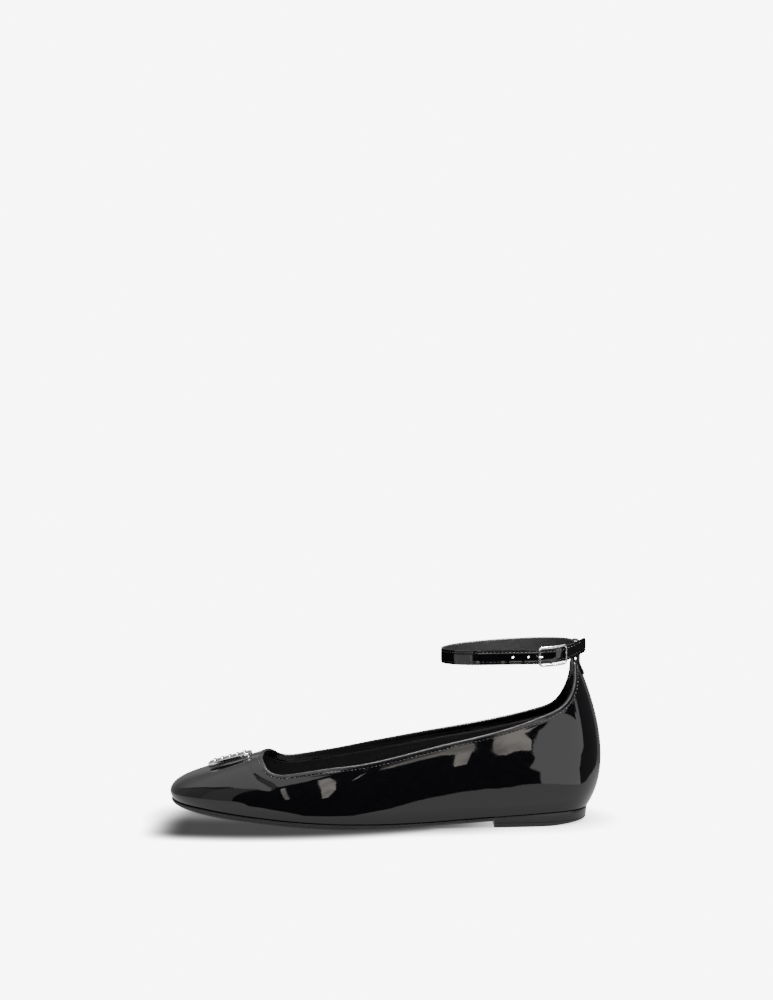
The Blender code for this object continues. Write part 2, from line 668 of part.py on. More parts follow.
def make_ornament(model):
    """Metal tray with a raised rim, an inlay in it and raised bars across the inlay."""
    seat = ornament_seat()
    rim, soft = ORNAMENT_RIM, 0.3 * ORNAMENT_RIM
    profile = (
        # inset, height
        (soft, 0),
        (0, soft),
        (0, ORNAMENT_HEIGHT - soft),
        (soft, ORNAMENT_HEIGHT),
        (rim - soft, ORNAMENT_HEIGHT),
        (rim, ORNAMENT_HEIGHT - soft),
        (rim, ORNAMENT_BASE),
    )
    rings = [ornament_ring(seat, inset, height) for inset, height in profile]
    add_object("ornament_tray", slab_mesh("ornament_tray", rings), "silver", model)

    face = ORNAMENT_HEIGHT - GAP
    levels = (ORNAMENT_BASE + GAP, face)
    rings = [ornament_ring(seat, rim + GAP, height) for height in levels]
    add_object("ornament_enamel", slab_mesh("ornament_enamel", rings), "enamel", model)

    foot = face + GAP
    for index in range(BAR_COUNT):
        middle = (index / (BAR_COUNT - 1) - 0.5) * BAR_SPREAD * ORNAMENT_LENGTH
        half, reach = BAR_WIDTH / 2, BAR_REACH * ORNAMENT_WIDTH / 2
        across = np.linspace(-reach, reach, 5)
        rows = []
        for along, rise in ((-half, 0), (half, 0), (half, 0.6), (half / 2, 1), (-half / 2, 1), (-half, 0.6)):
            plan = np.column_stack([np.full(5, middle + along), across])
            rows.append(ornament_points(seat, plan, foot + rise * BAR_HEIGHT))
        name = f"ornament_bar_{index + 1}"
        add_object(name, sweep_mesh(name, np.stack(rows, 1)), "silver", model)


def main():
    clear_scene()
    model = bpy.data.collections.new("ballet_flat")
    tools = bpy.data.collections.new("cutters")
    for collection in (model, tools):
        bpy.context.scene.collection.children.link(collection)
    make_upper(model)
    make_outsole(model)
    make_heel(model)
    make_insole(model)
    make_strap(model, tools)
    make_buckle(model, tools)
    make_back_loop(model)
    make_ornament(model)


main()
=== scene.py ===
import math

import bmesh
import bpy
import numpy as np
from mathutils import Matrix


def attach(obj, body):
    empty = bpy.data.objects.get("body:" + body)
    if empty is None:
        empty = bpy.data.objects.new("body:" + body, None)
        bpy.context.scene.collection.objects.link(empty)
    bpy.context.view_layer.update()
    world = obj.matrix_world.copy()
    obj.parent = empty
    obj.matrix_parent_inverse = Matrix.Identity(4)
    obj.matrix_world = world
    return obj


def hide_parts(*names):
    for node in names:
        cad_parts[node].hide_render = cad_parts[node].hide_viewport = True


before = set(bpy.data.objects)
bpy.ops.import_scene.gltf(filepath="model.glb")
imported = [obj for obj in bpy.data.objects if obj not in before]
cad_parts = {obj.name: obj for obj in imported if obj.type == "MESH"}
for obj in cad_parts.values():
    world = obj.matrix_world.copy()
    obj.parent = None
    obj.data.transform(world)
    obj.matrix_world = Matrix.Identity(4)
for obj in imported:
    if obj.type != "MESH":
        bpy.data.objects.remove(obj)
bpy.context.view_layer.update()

# Camera
# A long lens a little above the floor, level across, looking at the outer side of the shoe. The shoe
# stands low in an upright picture.
CAMERA_PLACE = (0, -1.08554, 0.22126)
CAMERA_DOWN = 0.034908
SENSOR_WIDTH = 36
FOCAL_LENGTH = 68.15
camera = bpy.data.objects.new("camera", bpy.data.cameras.new("camera"))
bpy.context.scene.collection.objects.link(camera)
camera.location = CAMERA_PLACE
camera.rotation_euler = (math.pi / 2 - CAMERA_DOWN, 0, 0)
camera.data.sensor_width = SENSOR_WIDTH
camera.data.lens = FOCAL_LENGTH
bpy.context.scene.camera = camera

# Upper
# One skin of black patent leather, drawn over the last and turned over at the collar, where it is
# stitched down. Its lower edge is lasted under and glued between the insole and the outsole.
SHOE_LENGTH = 0.250
BALL_WIDTH = 0.084
TOP_HEIGHT = 0.095
UPPER_WALL = 0.0016
TOE_SPRING = 0.0105
HEEL_SEAT_RISE = 0.0060
FOREPART_THICKNESS = 0.0036
WAIST_THICKNESS = 0.0024
TREAD_FRONT = 0.42
TREAD_BACK = 0.46
ARCH_RUN = 0.50
SPRING_POWER = 1.6
ARCH_POWER = 0.9
THROAT_FRONT = 0.2143
THROAT_BOW = 0.40
THROAT_SOFTNESS = 0.034
LAST = (
    # along, side, flare, lift, crest_along, crest_side, crest, shoulder_out, shoulder
    (0.962, 0.000, 0.160, 0.205, 0.927, 0.000, 1.030, 0.108, 0.632),
    (0.933, -0.215, 0.128, 0.205, 0.905, -0.170, 1.020, 0.075, 0.632),
    (0.850, -0.318, 0.095, 0.205, 0.840, -0.225, 1.000, 0.030, 0.632),
    (0.670, -0.362, 0.090, 0.200, 0.680, -0.120, 0.930, 0.040, 0.632),
    (0.520, -0.410, 0.085, 0.180, 0.545, -0.070, 0.796, 0.030, 0.592),
    (0.370, -0.455, 0.090, 0.150, 0.420, -0.050, 0.640, 0.008, 0.500),
    (0.190, -0.425, 0.095, 0.125, 0.300, -0.030, 0.480, -0.055, 0.400),
    (0.075, -0.325, 0.095, 0.118, 0.250, -0.015, 0.415, -0.135, 0.342),
    (0.026, -0.185, 0.095, 0.115, 0.232, -0.005, 0.394, -0.205, 0.314),
    (0.006, 0.050, 0.095, 0.115, 0.226, 0.015, 0.389, -0.250, 0.302),
    (0.022, 0.260, 0.095, 0.115, 0.232, 0.035, 0.392, -0.205, 0.300),
    (0.070, 0.385, 0.095, 0.118, 0.250, 0.040, 0.408, -0.135, 0.312),
    (0.165, 0.450, 0.095, 0.125, 0.300, 0.040, 0.470, -0.055, 0.365),
    (0.310, 0.462, 0.090, 0.150, 0.400, 0.045, 0.640, 0.008, 0.500),
    (0.500, 0.365, 0.090, 0.190, 0.530, 0.055, 0.796, 0.030, 0.592),
    (0.670, 0.300, 0.095, 0.205, 0.675, 0.110, 0.930, 0.040, 0.632),
    (0.850, 0.315, 0.095, 0.205, 0.840, 0.220, 1.000, 0.030, 0.632),
    (0.933, 0.215, 0.128, 0.205, 0.905, 0.170, 1.020, 0.075, 0.632),
)
TOPLINE = (
    # along, outer, inner
    (0.190, 0.345, 0.325),
    (0.218, 0.334, 0.316),
    (0.250, 0.325, 0.317),
    (0.290, 0.333, 0.325),
    (0.340, 0.354, 0.346),
    (0.374, 0.367, 0.362),
    (0.430, 0.384, 0.395),
    (0.600, 0.480, 0.494),
    (0.770, 0.588, 0.574),
    (0.860, 0.673, 0.631),
    (0.905, 0.742, 0.702),
    (0.9255, 0.826, 0.826),
    (0.930, 0.960, 0.960),
)
THROAT_CREASE = (
    # x, y, z on the skin, from beside the ornament back along the throat
    (-0.0830, -0.0090, 0.0354),
    (-0.0816, -0.0150, 0.0350),
    (-0.0790, -0.0228, 0.0338),
    (-0.0758, -0.0296, 0.0306),
    (-0.0718, -0.0340, 0.0276),
    (-0.0676, -0.0362, 0.0258),
    (-0.0645, -0.0373, 0.0246),
    (-0.0610, -0.0382, 0.0238),
)
CREASE_WIDTH = 0.0019
CREASE_DEPTH = 0.00055
UPPER_COLUMNS = 640
SKIN_ROWS = 100
ROW_CROWDING = 1.35
RIM_HEIGHT = 0.0005
STITCH_DEPTH = 0.0019
STITCH_PITCH = 0.0023
STITCH_DIP = 0.00015
FOLD_SWELL = 0.00018
TURNED_IN = 0.0045
SINGLE_WALL = 0.0009


def smooth(share):
    """Three times the share squared less twice its cube, held between 0 and 1."""
    share = np.clip(share, 0, 1)
    return share * share * (3 - 2 * share)


def spline(knots, values, at, period=None):
    """Cubic pieces that meet with equal slope and bend at every knot, closed or with free ends."""
    knots, values, at = np.asarray(knots, float), np.asarray(values, float), np.asarray(at, float)
    count = len(knots)
    steps = np.diff(np.append(knots, knots[0] + period)) if period else np.diff(knots)
    if period:
        at = knots[0] + (at - knots[0]) % period
    inner = np.arange(count) if period else np.arange(1, count - 1)
    before, after = (inner - 1) % count, (inner + 1) % count
    matrix, right = np.zeros((count, count)), np.zeros(values.shape)
    if not period:
        matrix[0, 0] = matrix[-1, -1] = 1
    matrix[inner, before] += steps[before]
    matrix[inner, inner] += 2 * (steps[before] + steps[inner])
    matrix[inner, after] += steps[inner]
    right[inner] = 6 * (values[after] - values[inner]) / steps[inner][:, None]
    right[inner] -= 6 * (values[inner] - values[before]) / steps[before][:, None]
    bend = np.linalg.solve(matrix, right)
    left = np.clip(np.searchsorted(knots, at, side="right") - 1, 0, len(steps) - 1)
    step = steps[left][:, None]
    a = (at - knots[left])[:, None]
    b = step - a
    low, high = bend[left], bend[(left + 1) % count]
    first, last = values[left], values[(left + 1) % count]
    ends = (first / step - low * step / 6) * b + (last / step - high * step / 6) * a
    return (low * b**3 + high * a**3) / (6 * step) + ends


def tread_height(along):
    """Toe spring as a power of the way to the toe, plus a smooth step up through the arch to the heel."""
    spring = TOE_SPRING * np.clip((TREAD_FRONT - along) / TREAD_FRONT, 0, 1) ** SPRING_POWER
    return spring + HEEL_SEAT_RISE * smooth((along - TREAD_BACK) / ARCH_RUN) ** ARCH_POWER


def feather_height(along):
    """Tread height plus the sole, which is thicker between the toe and the waist."""
    fullness = smooth(along / 0.10) * (1 - smooth((along - 0.35) / 0.30))
    return tread_height(along) + WAIST_THICKNESS + (FOREPART_THICKNESS - WAIST_THICKNESS) * fullness


def last_sections(turn):
    """Foot, handles and crest of the upper's curve at shares of a turn round the feather line."""
    rows = np.array(LAST)
    plan = rows[:, :2] * (SHOE_LENGTH, BALL_WIDTH)
    steps = np.linalg.norm(np.roll(plan, -1, 0) - plan, axis=1)
    knots = np.concatenate([[0], np.cumsum(steps)[:-1]])
    table = spline(knots, rows, turn * steps.sum(), period=steps.sum())
    ahead = spline(knots, rows[:, :2], (turn + 0.001) * steps.sum(), period=steps.sum())
    behind = spline(knots, rows[:, :2], (turn - 0.001) * steps.sum(), period=steps.sum())
    along, side, flare, lift, crest_along, crest_side, crest, shoulder_out, shoulder = table.T
    foot = np.column_stack([along * SHOE_LENGTH, side * BALL_WIDTH, feather_height(along)])
    run = (ahead - behind) * (SHOE_LENGTH, BALL_WIDTH)
    outward = np.column_stack([-run[:, 1], run[:, 0]]) / np.linalg.norm(run, axis=1)[:, None]
    low = foot + np.column_stack([outward * (flare * BALL_WIDTH)[:, None], lift * TOP_HEIGHT])
    bulged = foot[:, :2] + outward * (shoulder_out * BALL_WIDTH)[:, None]
    high = np.column_stack([bulged, shoulder * TOP_HEIGHT])
    top = np.column_stack([crest_along * SHOE_LENGTH, crest_side * BALL_WIDTH, crest * TOP_HEIGHT])
    middle = np.array([SHOE_LENGTH / 2, 0, 0])
    return foot - middle, low - middle, high - middle, top - middle


def section_points(sections, share):
    """Cubic curve through each section's foot and crest, drawn by its two handles."""
    foot, low, high, top = (part[:, None] for part in sections)
    share = share[..., None]
    rest = 1 - share
    return rest**3 * foot + 3 * rest**2 * share * low + 3 * rest * share**2 * high + share**3 * top


def above_collar(points):
    """The lesser, softly joined, of the height over the side view's topline and the way past the throat."""
    rows = np.array(TOPLINE)
    steps = np.hypot(np.diff(rows[:, 0]) * SHOE_LENGTH, np.diff(rows[:, 1]) * TOP_HEIGHT)
    knots = np.concatenate([[0], np.cumsum(steps)])
    curve = spline(knots, rows, np.linspace(0, knots[-1], 400))
    ahead = np.maximum.accumulate(curve[:, 0]) + np.arange(len(curve)) * 1e-9
    along = points[..., 0] / SHOE_LENGTH + 0.5
    side = points[..., 1] / BALL_WIDTH
    outer, inner = np.interp(along, ahead, curve[:, 1]), np.interp(along, ahead, curve[:, 2])
    inward = (np.clip(side / 0.4, -1, 1) + 1) / 2
    over = points[..., 2] / TOP_HEIGHT - outer - (inner - outer) * inward
    behind = along - THROAT_FRONT - THROAT_BOW * abs(side) ** 3
    blend = np.clip(1 - abs(over - behind) / THROAT_SOFTNESS, 0, 1)
    return np.minimum(over, behind) - THROAT_SOFTNESS / 4 * blend**2


def collar_shares(sections):
    """Share of each section's curve at which it first passes above the collar."""
    shares = np.linspace(0, 1, 400)
    over = above_collar(section_points(sections, np.tile(shares, (len(sections[0]), 1))))
    crossed = over > 0
    crossed[:, -1] = True
    first = np.maximum(crossed.argmax(1), 1)
    rows = np.arange(len(over))
    before, after = over[rows, first - 1], over[rows, first]
    part = np.clip(-before / (after - before + 1e-12), 0, 1)
    return shares[first - 1] + part * (shares[1] - shares[0])


def even_columns(count):
    """Turns spaced evenly by the sum of the lengths run along the feather line and along the collar."""
    turn = np.arange(4000) / 4000
    sections = last_sections(turn)
    rim = section_points(sections, collar_shares(sections)[:, None])[:, 0]
    step = sum(np.linalg.norm(np.roll(line, -1, 0) - line, axis=1) for line in (sections[0], rim))
    run = np.concatenate([[0], np.cumsum(step)])
    return np.interp(np.arange(count) / count * run[-1], run, np.append(turn, 1))


def unit(vectors):
    """Each vector divided by its own length."""
    return vectors / np.linalg.norm(vectors, axis=-1, keepdims=True)


def grid_normals(points):
    """Cross product of the steps up (open) and round (closed) a grid of points, made unit length."""
    around = np.roll(points, -1, 0) - np.roll(points, 1, 0)
    return unit(np.cross(np.gradient(points, axis=1), around))


def run_open(line):
    """Lengths run to each point of a line that stays open."""
    return np.concatenate([[0], np.cumsum(np.linalg.norm(np.diff(line, axis=0), axis=1))])


def run_along(line):
    """Lengths run to each point of a closed line, and once round it."""
    return np.concatenate([[0], np.cumsum(np.linalg.norm(np.roll(line, -1, 0) - line, axis=1))])


def from_line(points, line, parts=4):
    """Distance of each point to a closed line, by its nearest place, and the length run to that place."""
    run = run_along(line)
    at = np.linspace(0, run[-1], parts * len(line), endpoint=False)
    closed = np.vstack([line, line[:1]])
    fine = np.column_stack([np.interp(at, run, closed[:, axis]) for axis in range(3)])
    flat = points.reshape(-1, 3)
    blocks = np.array_split(flat, len(flat) // 1500 + 1)
    near = np.concatenate([((block[:, None] - fine[None]) ** 2).sum(-1).argmin(1) for block in blocks])
    distance = np.linalg.norm(flat - fine[near], axis=1)
    return distance.reshape(points.shape[:-1]), at[near].reshape(points.shape[:-1])


def crease(points, path, width, depth):
    """Depth times a bell of the distance to the path, easing out towards both of its ends."""
    path = np.array(path, float)
    places = np.linspace(0, len(path) - 1, 48)
    dots = np.column_stack([np.interp(places, np.arange(len(path)), column) for column in path.T])
    gaps = np.linalg.norm(points[..., None, :] - dots, axis=-1)
    share = gaps.argmin(-1) / (len(dots) - 1)
    bell = depth * np.exp(-((gaps.min(-1) / width) ** 2))
    return bell * smooth(share / 0.3) * smooth((1 - share) / 0.3)


def grid_faces(rows, columns, close_rows, close_columns):
    """Quads over a grid of points that is numbered row by row, closed round either way."""
    row = np.arange(rows if close_rows else rows - 1)[:, None]
    column = np.arange(columns if close_columns else columns - 1)[None]
    next_row, next_column = (row + 1) % rows, (column + 1) % columns
    corners = [(row, column), (row, next_column), (next_row, next_column), (next_row, column)]
    return np.stack([r * columns + c for r, c in corners], -1).reshape(-1, 4)


def new_piece(name, points, faces, finish, fields=None, sharp=None, closed=True):
    """A mesh object from points and lists of faces, with its finish and any number fields on its points.

    Points that no face uses are left out, and a closed piece's faces are turned outwards.
    """
    points = points.reshape(-1, 3)
    used = np.unique(np.concatenate([np.ravel(part) for part in faces]))
    place = np.zeros(len(points), int)
    place[used] = np.arange(len(used))
    mesh = bpy.data.meshes.new(name)
    rows = [row for part in faces for row in place[np.asarray(part)].tolist()]
    mesh.from_pydata(points[used].tolist(), [], rows)
    if closed:
        work = bmesh.new()
        work.from_mesh(mesh)
        bmesh.ops.recalc_face_normals(work, faces=work.faces)
        work.to_mesh(mesh)
        work.free()
    for field, values in (fields or {}).items():
        attribute = mesh.attributes.new(field, "FLOAT", "POINT")
        attribute.data.foreach_set("value", values.astype(np.float32).ravel()[used])
    mesh.materials.append(finish)
    mesh.shade_smooth()
    if sharp:
        mesh.set_sharp_from_angle(angle=math.radians(sharp))
    piece = bpy.data.objects.new(name, mesh)
    bpy.context.scene.collection.objects.link(piece)
    return piece


class Shade:
    """A socket of a material. Python's operators on it add Math nodes, and add() any other node."""

    def __init__(self, tree, socket=None):
        self.tree, self.socket = tree, socket

    def add(self, kind, settings=(), sockets=(), out=0):
        """Add a node by its type: settings first, then the values or links of its sockets."""
        node = self.tree.nodes.new(kind)
        for key, value in dict(settings).items():
            setattr(node, key, value)
        for key, value in dict(sockets).items():
            if isinstance(value, Shade):
                self.tree.links.new(value.socket, node.inputs[key])
            else:
                node.inputs[key].default_value = value
        return Shade(self.tree, node.outputs[out])

    def maths(self, operation, *parts):
        return self.add("ShaderNodeMath", {"operation": operation}, dict(enumerate(parts)))

    def __add__(self, other):
        return self.maths("ADD", self, other)

    def __sub__(self, other):
        return self.maths("SUBTRACT", self, other)

    def __rsub__(self, other):
        return self.maths("SUBTRACT", other, self)

    def __mul__(self, other):
        return self.maths("MULTIPLY", self, other)

    __radd__, __rmul__ = __add__, __mul__

    def step(self, low, high):
        """Smooth step of this value from 0 at low to 1 at high."""
        sockets = {"Value": self, "From Min": low, "From Max": high}
        return self.add("ShaderNodeMapRange", {"interpolation_type": "SMOOTHSTEP"}, sockets)

    def place(self):
        """Object coordinates."""
        return self.add("ShaderNodeTexCoord", out=3)

    def parts(self, vector):
        """The three numbers of a vector."""
        split = self.add("ShaderNodeSeparateXYZ", {}, {"Vector": vector})
        return [Shade(self.tree, output) for output in split.socket.node.outputs]

    def field(self, name):
        return self.add("ShaderNodeAttribute", {"attribute_name": name}, out=2)

    def noise(self, scale, detail=2.0, stretch=None):
        where = self.place()
        if stretch:
            where = self.add("ShaderNodeMapping", {}, {"Vector": where, "Scale": stretch})
        return self.add("ShaderNodeTexNoise", {}, {"Vector": where, "Scale": scale, "Detail": detail})

    def cells(self, scale):
        """Distance to the nearest edge between two cells."""
        sockets = {"Vector": self.place(), "Scale": scale}
        return self.add("ShaderNodeTexVoronoi", {"feature": "DISTANCE_TO_EDGE"}, sockets)

    def mix(self, factor, first, second):
        """Colour that goes from first to second as factor goes from 0 to 1."""
        sockets = {0: factor, 6: (*first, 1), 7: (*second, 1)}
        return self.add("ShaderNodeMix", {"data_type": "RGBA"}, sockets, out=2)

    def bump(self, height, distance, under=None):
        """Relief of this height and distance, on top of the relief under it."""
        sockets = {"Height": height, "Distance": distance, "Strength": 1.0}
        if under:
            sockets["Normal"] = under
        return self.add("ShaderNodeBump", {}, sockets)


def new_finish(name, **constants):
    """A material with these plain values, its shader, and a Shade to build its maths on."""
    material = bpy.data.materials.new(name)
    material.use_nodes = True
    tree = material.node_tree
    shader = tree.nodes["Principled BSDF"]
    for key, value in constants.items():
        shader.inputs[key.replace("_", " ")].default_value = value
    return material, shader, Shade(tree)


def feed(shader, **inputs):
    """Link each Shade to the shader's input of that name."""
    for key, value in inputs.items():
        value.tree.links.new(value.socket, shader.inputs[key.replace("_", " ")])


patent, shader, s = new_finish("black_patent", IOR=1.52)
film = s.noise(95, 1.0)
peel = s.noise(700, 2.0)
dust = s.noise(260, 4.0)
pull = s.field("below_rim").step(0.0008, 0.0018) * (1 - s.field("below_rim").step(0.0020, 0.0032))
pucker = pull * (0.5 + 0.5 * (s.field("stitch") * (2 * math.pi)).maths("COSINE"))
feed(
    shader,
    Base_Color=s.mix(dust, (0.0030, 0.0030, 0.0038), (0.0060, 0.0060, 0.0070)),
    Roughness=0.035 + 0.030 * dust.step(0.35, 0.75) + 0.28 * s.field("fold"),
    Normal=s.bump(pucker, 0.00009, s.bump(peel, 0.000006, s.bump(film, 0.00007))),
)


def at_depth(depth, *grids):
    """Each grid's value where its column first lies that far below the rim, counted down from the rim."""
    down = below[:, ::-1]
    first = np.maximum((down > depth).argmax(1), 1)
    rows = np.arange(len(down))
    share = (depth - down[rows, first - 1]) / (down[rows, first] - down[rows, first - 1])
    values = []
    for grid in grids:
        grid = grid[:, ::-1]
        part = share[:, None] if grid.ndim == 3 else share
        values.append(grid[rows, first - 1] * (1 - part) + grid[rows, first] * part)
    return values


turn = even_columns(UPPER_COLUMNS)
sections = last_sections(turn)
ends = collar_shares(sections)
walls = section_points(sections, ends[:, None] * np.linspace(0, 1, 60))
lengths = np.linalg.norm(np.diff(walls, axis=1), axis=-1)
ends = ends * (1 - RIM_HEIGHT / lengths.sum(1))
shares = ends[:, None] * (1 - (1 - np.linspace(0, 1, SKIN_ROWS)) ** ROW_CROWDING)
plain_skin = section_points(sections, shares)
skin_normal = grid_normals(plain_skin)
rim = plain_skin[:, -1]
below, _ = from_line(plain_skin, rim)
seam, seam_normal = at_depth(STITCH_DEPTH, plain_skin, skin_normal)
seam_length = run_along(seam)[-1]
stitch_count = round(seam_length / STITCH_PITCH)
seam_run = from_line(plain_skin, seam)[1] / seam_length * stitch_count

relief = FOLD_SWELL * (1 - smooth((below - 0.0012) / 0.0014))
relief -= STITCH_DIP * np.exp(-(((below - STITCH_DEPTH) / 0.00045) ** 2))
relief -= crease(plain_skin, THROAT_CREASE, CREASE_WIDTH, CREASE_DEPTH)
skin = plain_skin + skin_normal * relief[..., None]

rim_ahead = unit(np.roll(rim, -1, 0) - np.roll(rim, 1, 0))
rim_normal = skin_normal[:, -1]
rim_up = unit(np.cross(rim_normal, rim_ahead))
rim_up *= np.sign((rim_up * (rim - plain_skin[:, -3])).sum(-1, keepdims=True))
fold = np.linspace(0, math.pi, 12)[1:-1][None, :, None]
half_wall = (UPPER_WALL + FOLD_SWELL) / 2
middle = skin[:, -1] - rim_normal * half_wall
roll = middle[:, None] + rim_normal[:, None] * np.cos(fold) * half_wall
roll = roll + rim_up[:, None] * np.sin(fold) * RIM_HEIGHT * 1.6

inner_rows = SKIN_ROWS - 1 - np.array([*range(0, 21, 2), 24, 30, 40, 55, 75, SKIN_ROWS - 1])
inner_below = below[:, inner_rows]
layer = np.where(inner_below < TURNED_IN, UPPER_WALL, SINGLE_WALL)
inside = plain_skin[:, inner_rows] - skin_normal[:, inner_rows] * layer[..., None]
shell = np.concatenate([skin, roll, inside], 1)
turned = 1 - smooth((below - 0.0003) / 0.0008)
skin_fields = {
    # skin, rolled edge, inside
    "below_rim": [below, np.zeros(roll.shape[:2]), inner_below],
    "stitch": [seam_run, np.repeat(seam_run[:, -1:], roll.shape[1], 1), seam_run[:, inner_rows]],
    "fold": [turned, np.ones(roll.shape[:2]), np.zeros(inner_below.shape)],
}
skin_fields = {field: np.concatenate(parts, 1) for field, parts in skin_fields.items()}
upper = new_piece("upper_skin", shell, [grid_faces(*shell.shape[:2], True, True)], patent, skin_fields)
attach(upper, "root")
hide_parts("upper")

# Collar stitches
# One row of waxed black thread, just under the folded collar all the way round, that holds the turned
# edge and the lining. Each stitch dips into its two holes.
STITCH_SHARE = 0.75
STITCH_SINK = 0.00010
thread, shader, s = new_finish("black_thread", Roughness=0.55, IOR=1.45)
ply = s.noise(2600, 1.0)
feed(
    shader,
    Base_Color=s.mix(ply, (0.006, 0.006, 0.007), (0.020, 0.020, 0.021)),
    Normal=s.bump(ply, 0.00003),
)


def stitch_row(name, centres, ahead, outward, length, width=0.00042, rise=0.00012):
    """Rods along ahead, six points round: the middle line rises by one less twice the share squared."""
    share = np.array([-1, -0.8, -0.35, 0.35, 0.8, 1])
    radius = np.array([0.35, 0.8, 1, 1, 0.8, 0.35]) * width / 2
    angle = np.arange(6) * math.pi / 3
    side = np.cross(outward, ahead)[:, None, None]
    up = (rise * (1 - 2 * share**2))[:, None] + radius[:, None] * np.sin(angle)
    across = radius[:, None] * np.cos(angle)
    points = centres[:, None, None] + ahead[:, None, None] * (share * length / 2)[None, :, None, None]
    points = points + outward[:, None, None] * up[None, ..., None] + side * across[None, ..., None]
    start = np.arange(len(centres))[:, None, None] * 36
    walls = (grid_faces(6, 6, False, True)[None] + start).reshape(-1, 4)
    caps = (np.array([[0, 1, 2, 3, 4, 5], [35, 34, 33, 32, 31, 30]])[None] + start).reshape(-1, 6)
    return new_piece(name, points, [walls, caps], thread)


def even_places(line, directions, count):
    """Evenly spaced middles on a closed line, with the line's own direction and the given one there."""
    run = run_along(line)
    at = (np.arange(count) + 0.5) / count * run[-1]
    place = [np.interp(at, run, np.append(line[:, k], line[0, k])) for k in range(3)]
    ahead = unit(np.roll(line, -1, 0) - line)[np.minimum(np.searchsorted(run, at) - 1, len(line) - 1)]
    across = [np.interp(at, run, np.append(directions[:, k], directions[0, k])) for k in range(3)]
    return np.column_stack(place), ahead, unit(np.column_stack(across))


centres, ahead, outward = even_places(seam, seam_normal, stitch_count)
centres = centres - outward * STITCH_SINK
collar_stitches = stitch_row("collar_stitches", centres, ahead, outward, STITCH_SHARE * STITCH_PITCH)
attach(collar_stitches, "root")

# Lining
# Thin black calf inside the upper, from just under the turned-in collar down to the sock. It is cemented
# to the upper, so it follows it all the way round.
LINING_START = TURNED_IN + 0.0002
LINING_DEPTH = 0.00095
lining_leather, shader, s = new_finish("lining_leather", IOR=1.45)
grain = s.cells(900)
stain = s.noise(60, 3.0)
feed(
    shader,
    Base_Color=s.mix(stain, (0.008, 0.008, 0.008), (0.015, 0.015, 0.015)),
    Roughness=0.48 + 0.14 * stain,
    Normal=s.bump(grain.step(0.0, 0.25), 0.00003, s.bump(s.noise(140, 2.0), 0.00010)),
)
(lining_top,) = at_depth(LINING_START, shares)
lining_wall = section_points(sections, lining_top[:, None] * np.linspace(0, 1, 46)[None])
lining_normal = grid_normals(lining_wall)
outer_face = lining_wall - lining_normal * LINING_DEPTH
inner_face = lining_wall - lining_normal * UPPER_WALL
lip = (outer_face[:, -1:] + inner_face[:, -1:]) / 2
lip += unit(lining_wall[:, -1:] - lining_wall[:, -2:-1]) * 0.00015
shell = np.concatenate([outer_face, lip, inner_face[:, ::-1]], 1)
lining = new_piece("lining", shell, [grid_faces(*shell.shape[:2], True, True)], lining_leather)
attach(lining, "root")

# Sock
# Padded black leather over the insole board, glued down over its whole length, with one row of
# stitches just inside its edge.
SOCK_POINTS = 480
SOCK_CROWN = 0.0009
SOCK_SEAM_OFFSET = -0.0043
SOCK_SEAM_HEIGHT = 0.00186
SOCK_STITCH_PITCH = 0.0026
SOCK_STITCH_LENGTH = 0.0019
sock_turn = np.arange(SOCK_POINTS) / SOCK_POINTS
sock_foot = last_sections(sock_turn)[0]
sock_run = np.roll(sock_foot[:, :2], -1, 0) - np.roll(sock_foot[:, :2], 1, 0)
sock_outward = unit(np.column_stack([-sock_run[:, 1], sock_run[:, 0]]))
ring_profile = (
    # offset from the feather line, height
    (-0.00215, 0.00002),
    (-0.00180, 0.00060),
    (-0.00135, 0.00130),
    (-0.00130, 0.00165),
    (-0.00150, 0.00190),
    (-0.00190, 0.00200),
    (-0.00375, 0.00200),
    (-0.00405, 0.00186),
    (-0.00430, 0.00181),
    (-0.00455, 0.00186),
    (-0.00485, 0.00202),
)


def seat_ring(plan, rise):
    """A ring of plan points at a rise over the insole's seat, whose height goes by the place along."""
    height = feather_height(plan[:, 0] / SHOE_LENGTH + 0.5) + rise
    return np.column_stack([plan, height])


edge_rings = [seat_ring(sock_foot[:, :2] + sock_outward * offset, rise) for offset, rise in ring_profile]
inmost = edge_rings[-1][:, :2]
bottom = [seat_ring(edge_rings[0][:, :2] * k, 0.00002) for k in (0.02, 0.5)]
edge_top = ring_profile[-1][1]
crown = [(k, edge_top + SOCK_CROWN * smooth((1 - k) / 0.35)) for k in np.linspace(1, 0, 16)[1:-1]]
top = [seat_ring(inmost * k, rise) for k, rise in crown] + [seat_ring(inmost * 0.01, edge_top + SOCK_CROWN)]
rings = np.stack(bottom + edge_rings + top)
pole = np.arange(SOCK_POINTS)[None]
faces = [grid_faces(*rings.shape[:2], False, True), pole, (len(rings) - 1) * SOCK_POINTS + pole]
sock = new_piece("sock", rings, faces, lining_leather)
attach(sock, "root")
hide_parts("insole")

sock_line = seat_ring(sock_foot[:, :2] + sock_outward * SOCK_SEAM_OFFSET, SOCK_SEAM_HEIGHT)
count = round(run_along(sock_line)[-1] / SOCK_STITCH_PITCH)
upward = np.tile([0.0, 0.0, 1.0], (SOCK_POINTS, 1))
centres, ahead, outward = even_places(sock_line, upward, count)
sock_stitches = stitch_row("sock_stitches", centres, ahead, outward, SOCK_STITCH_LENGTH)
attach(sock_stitches, "root")

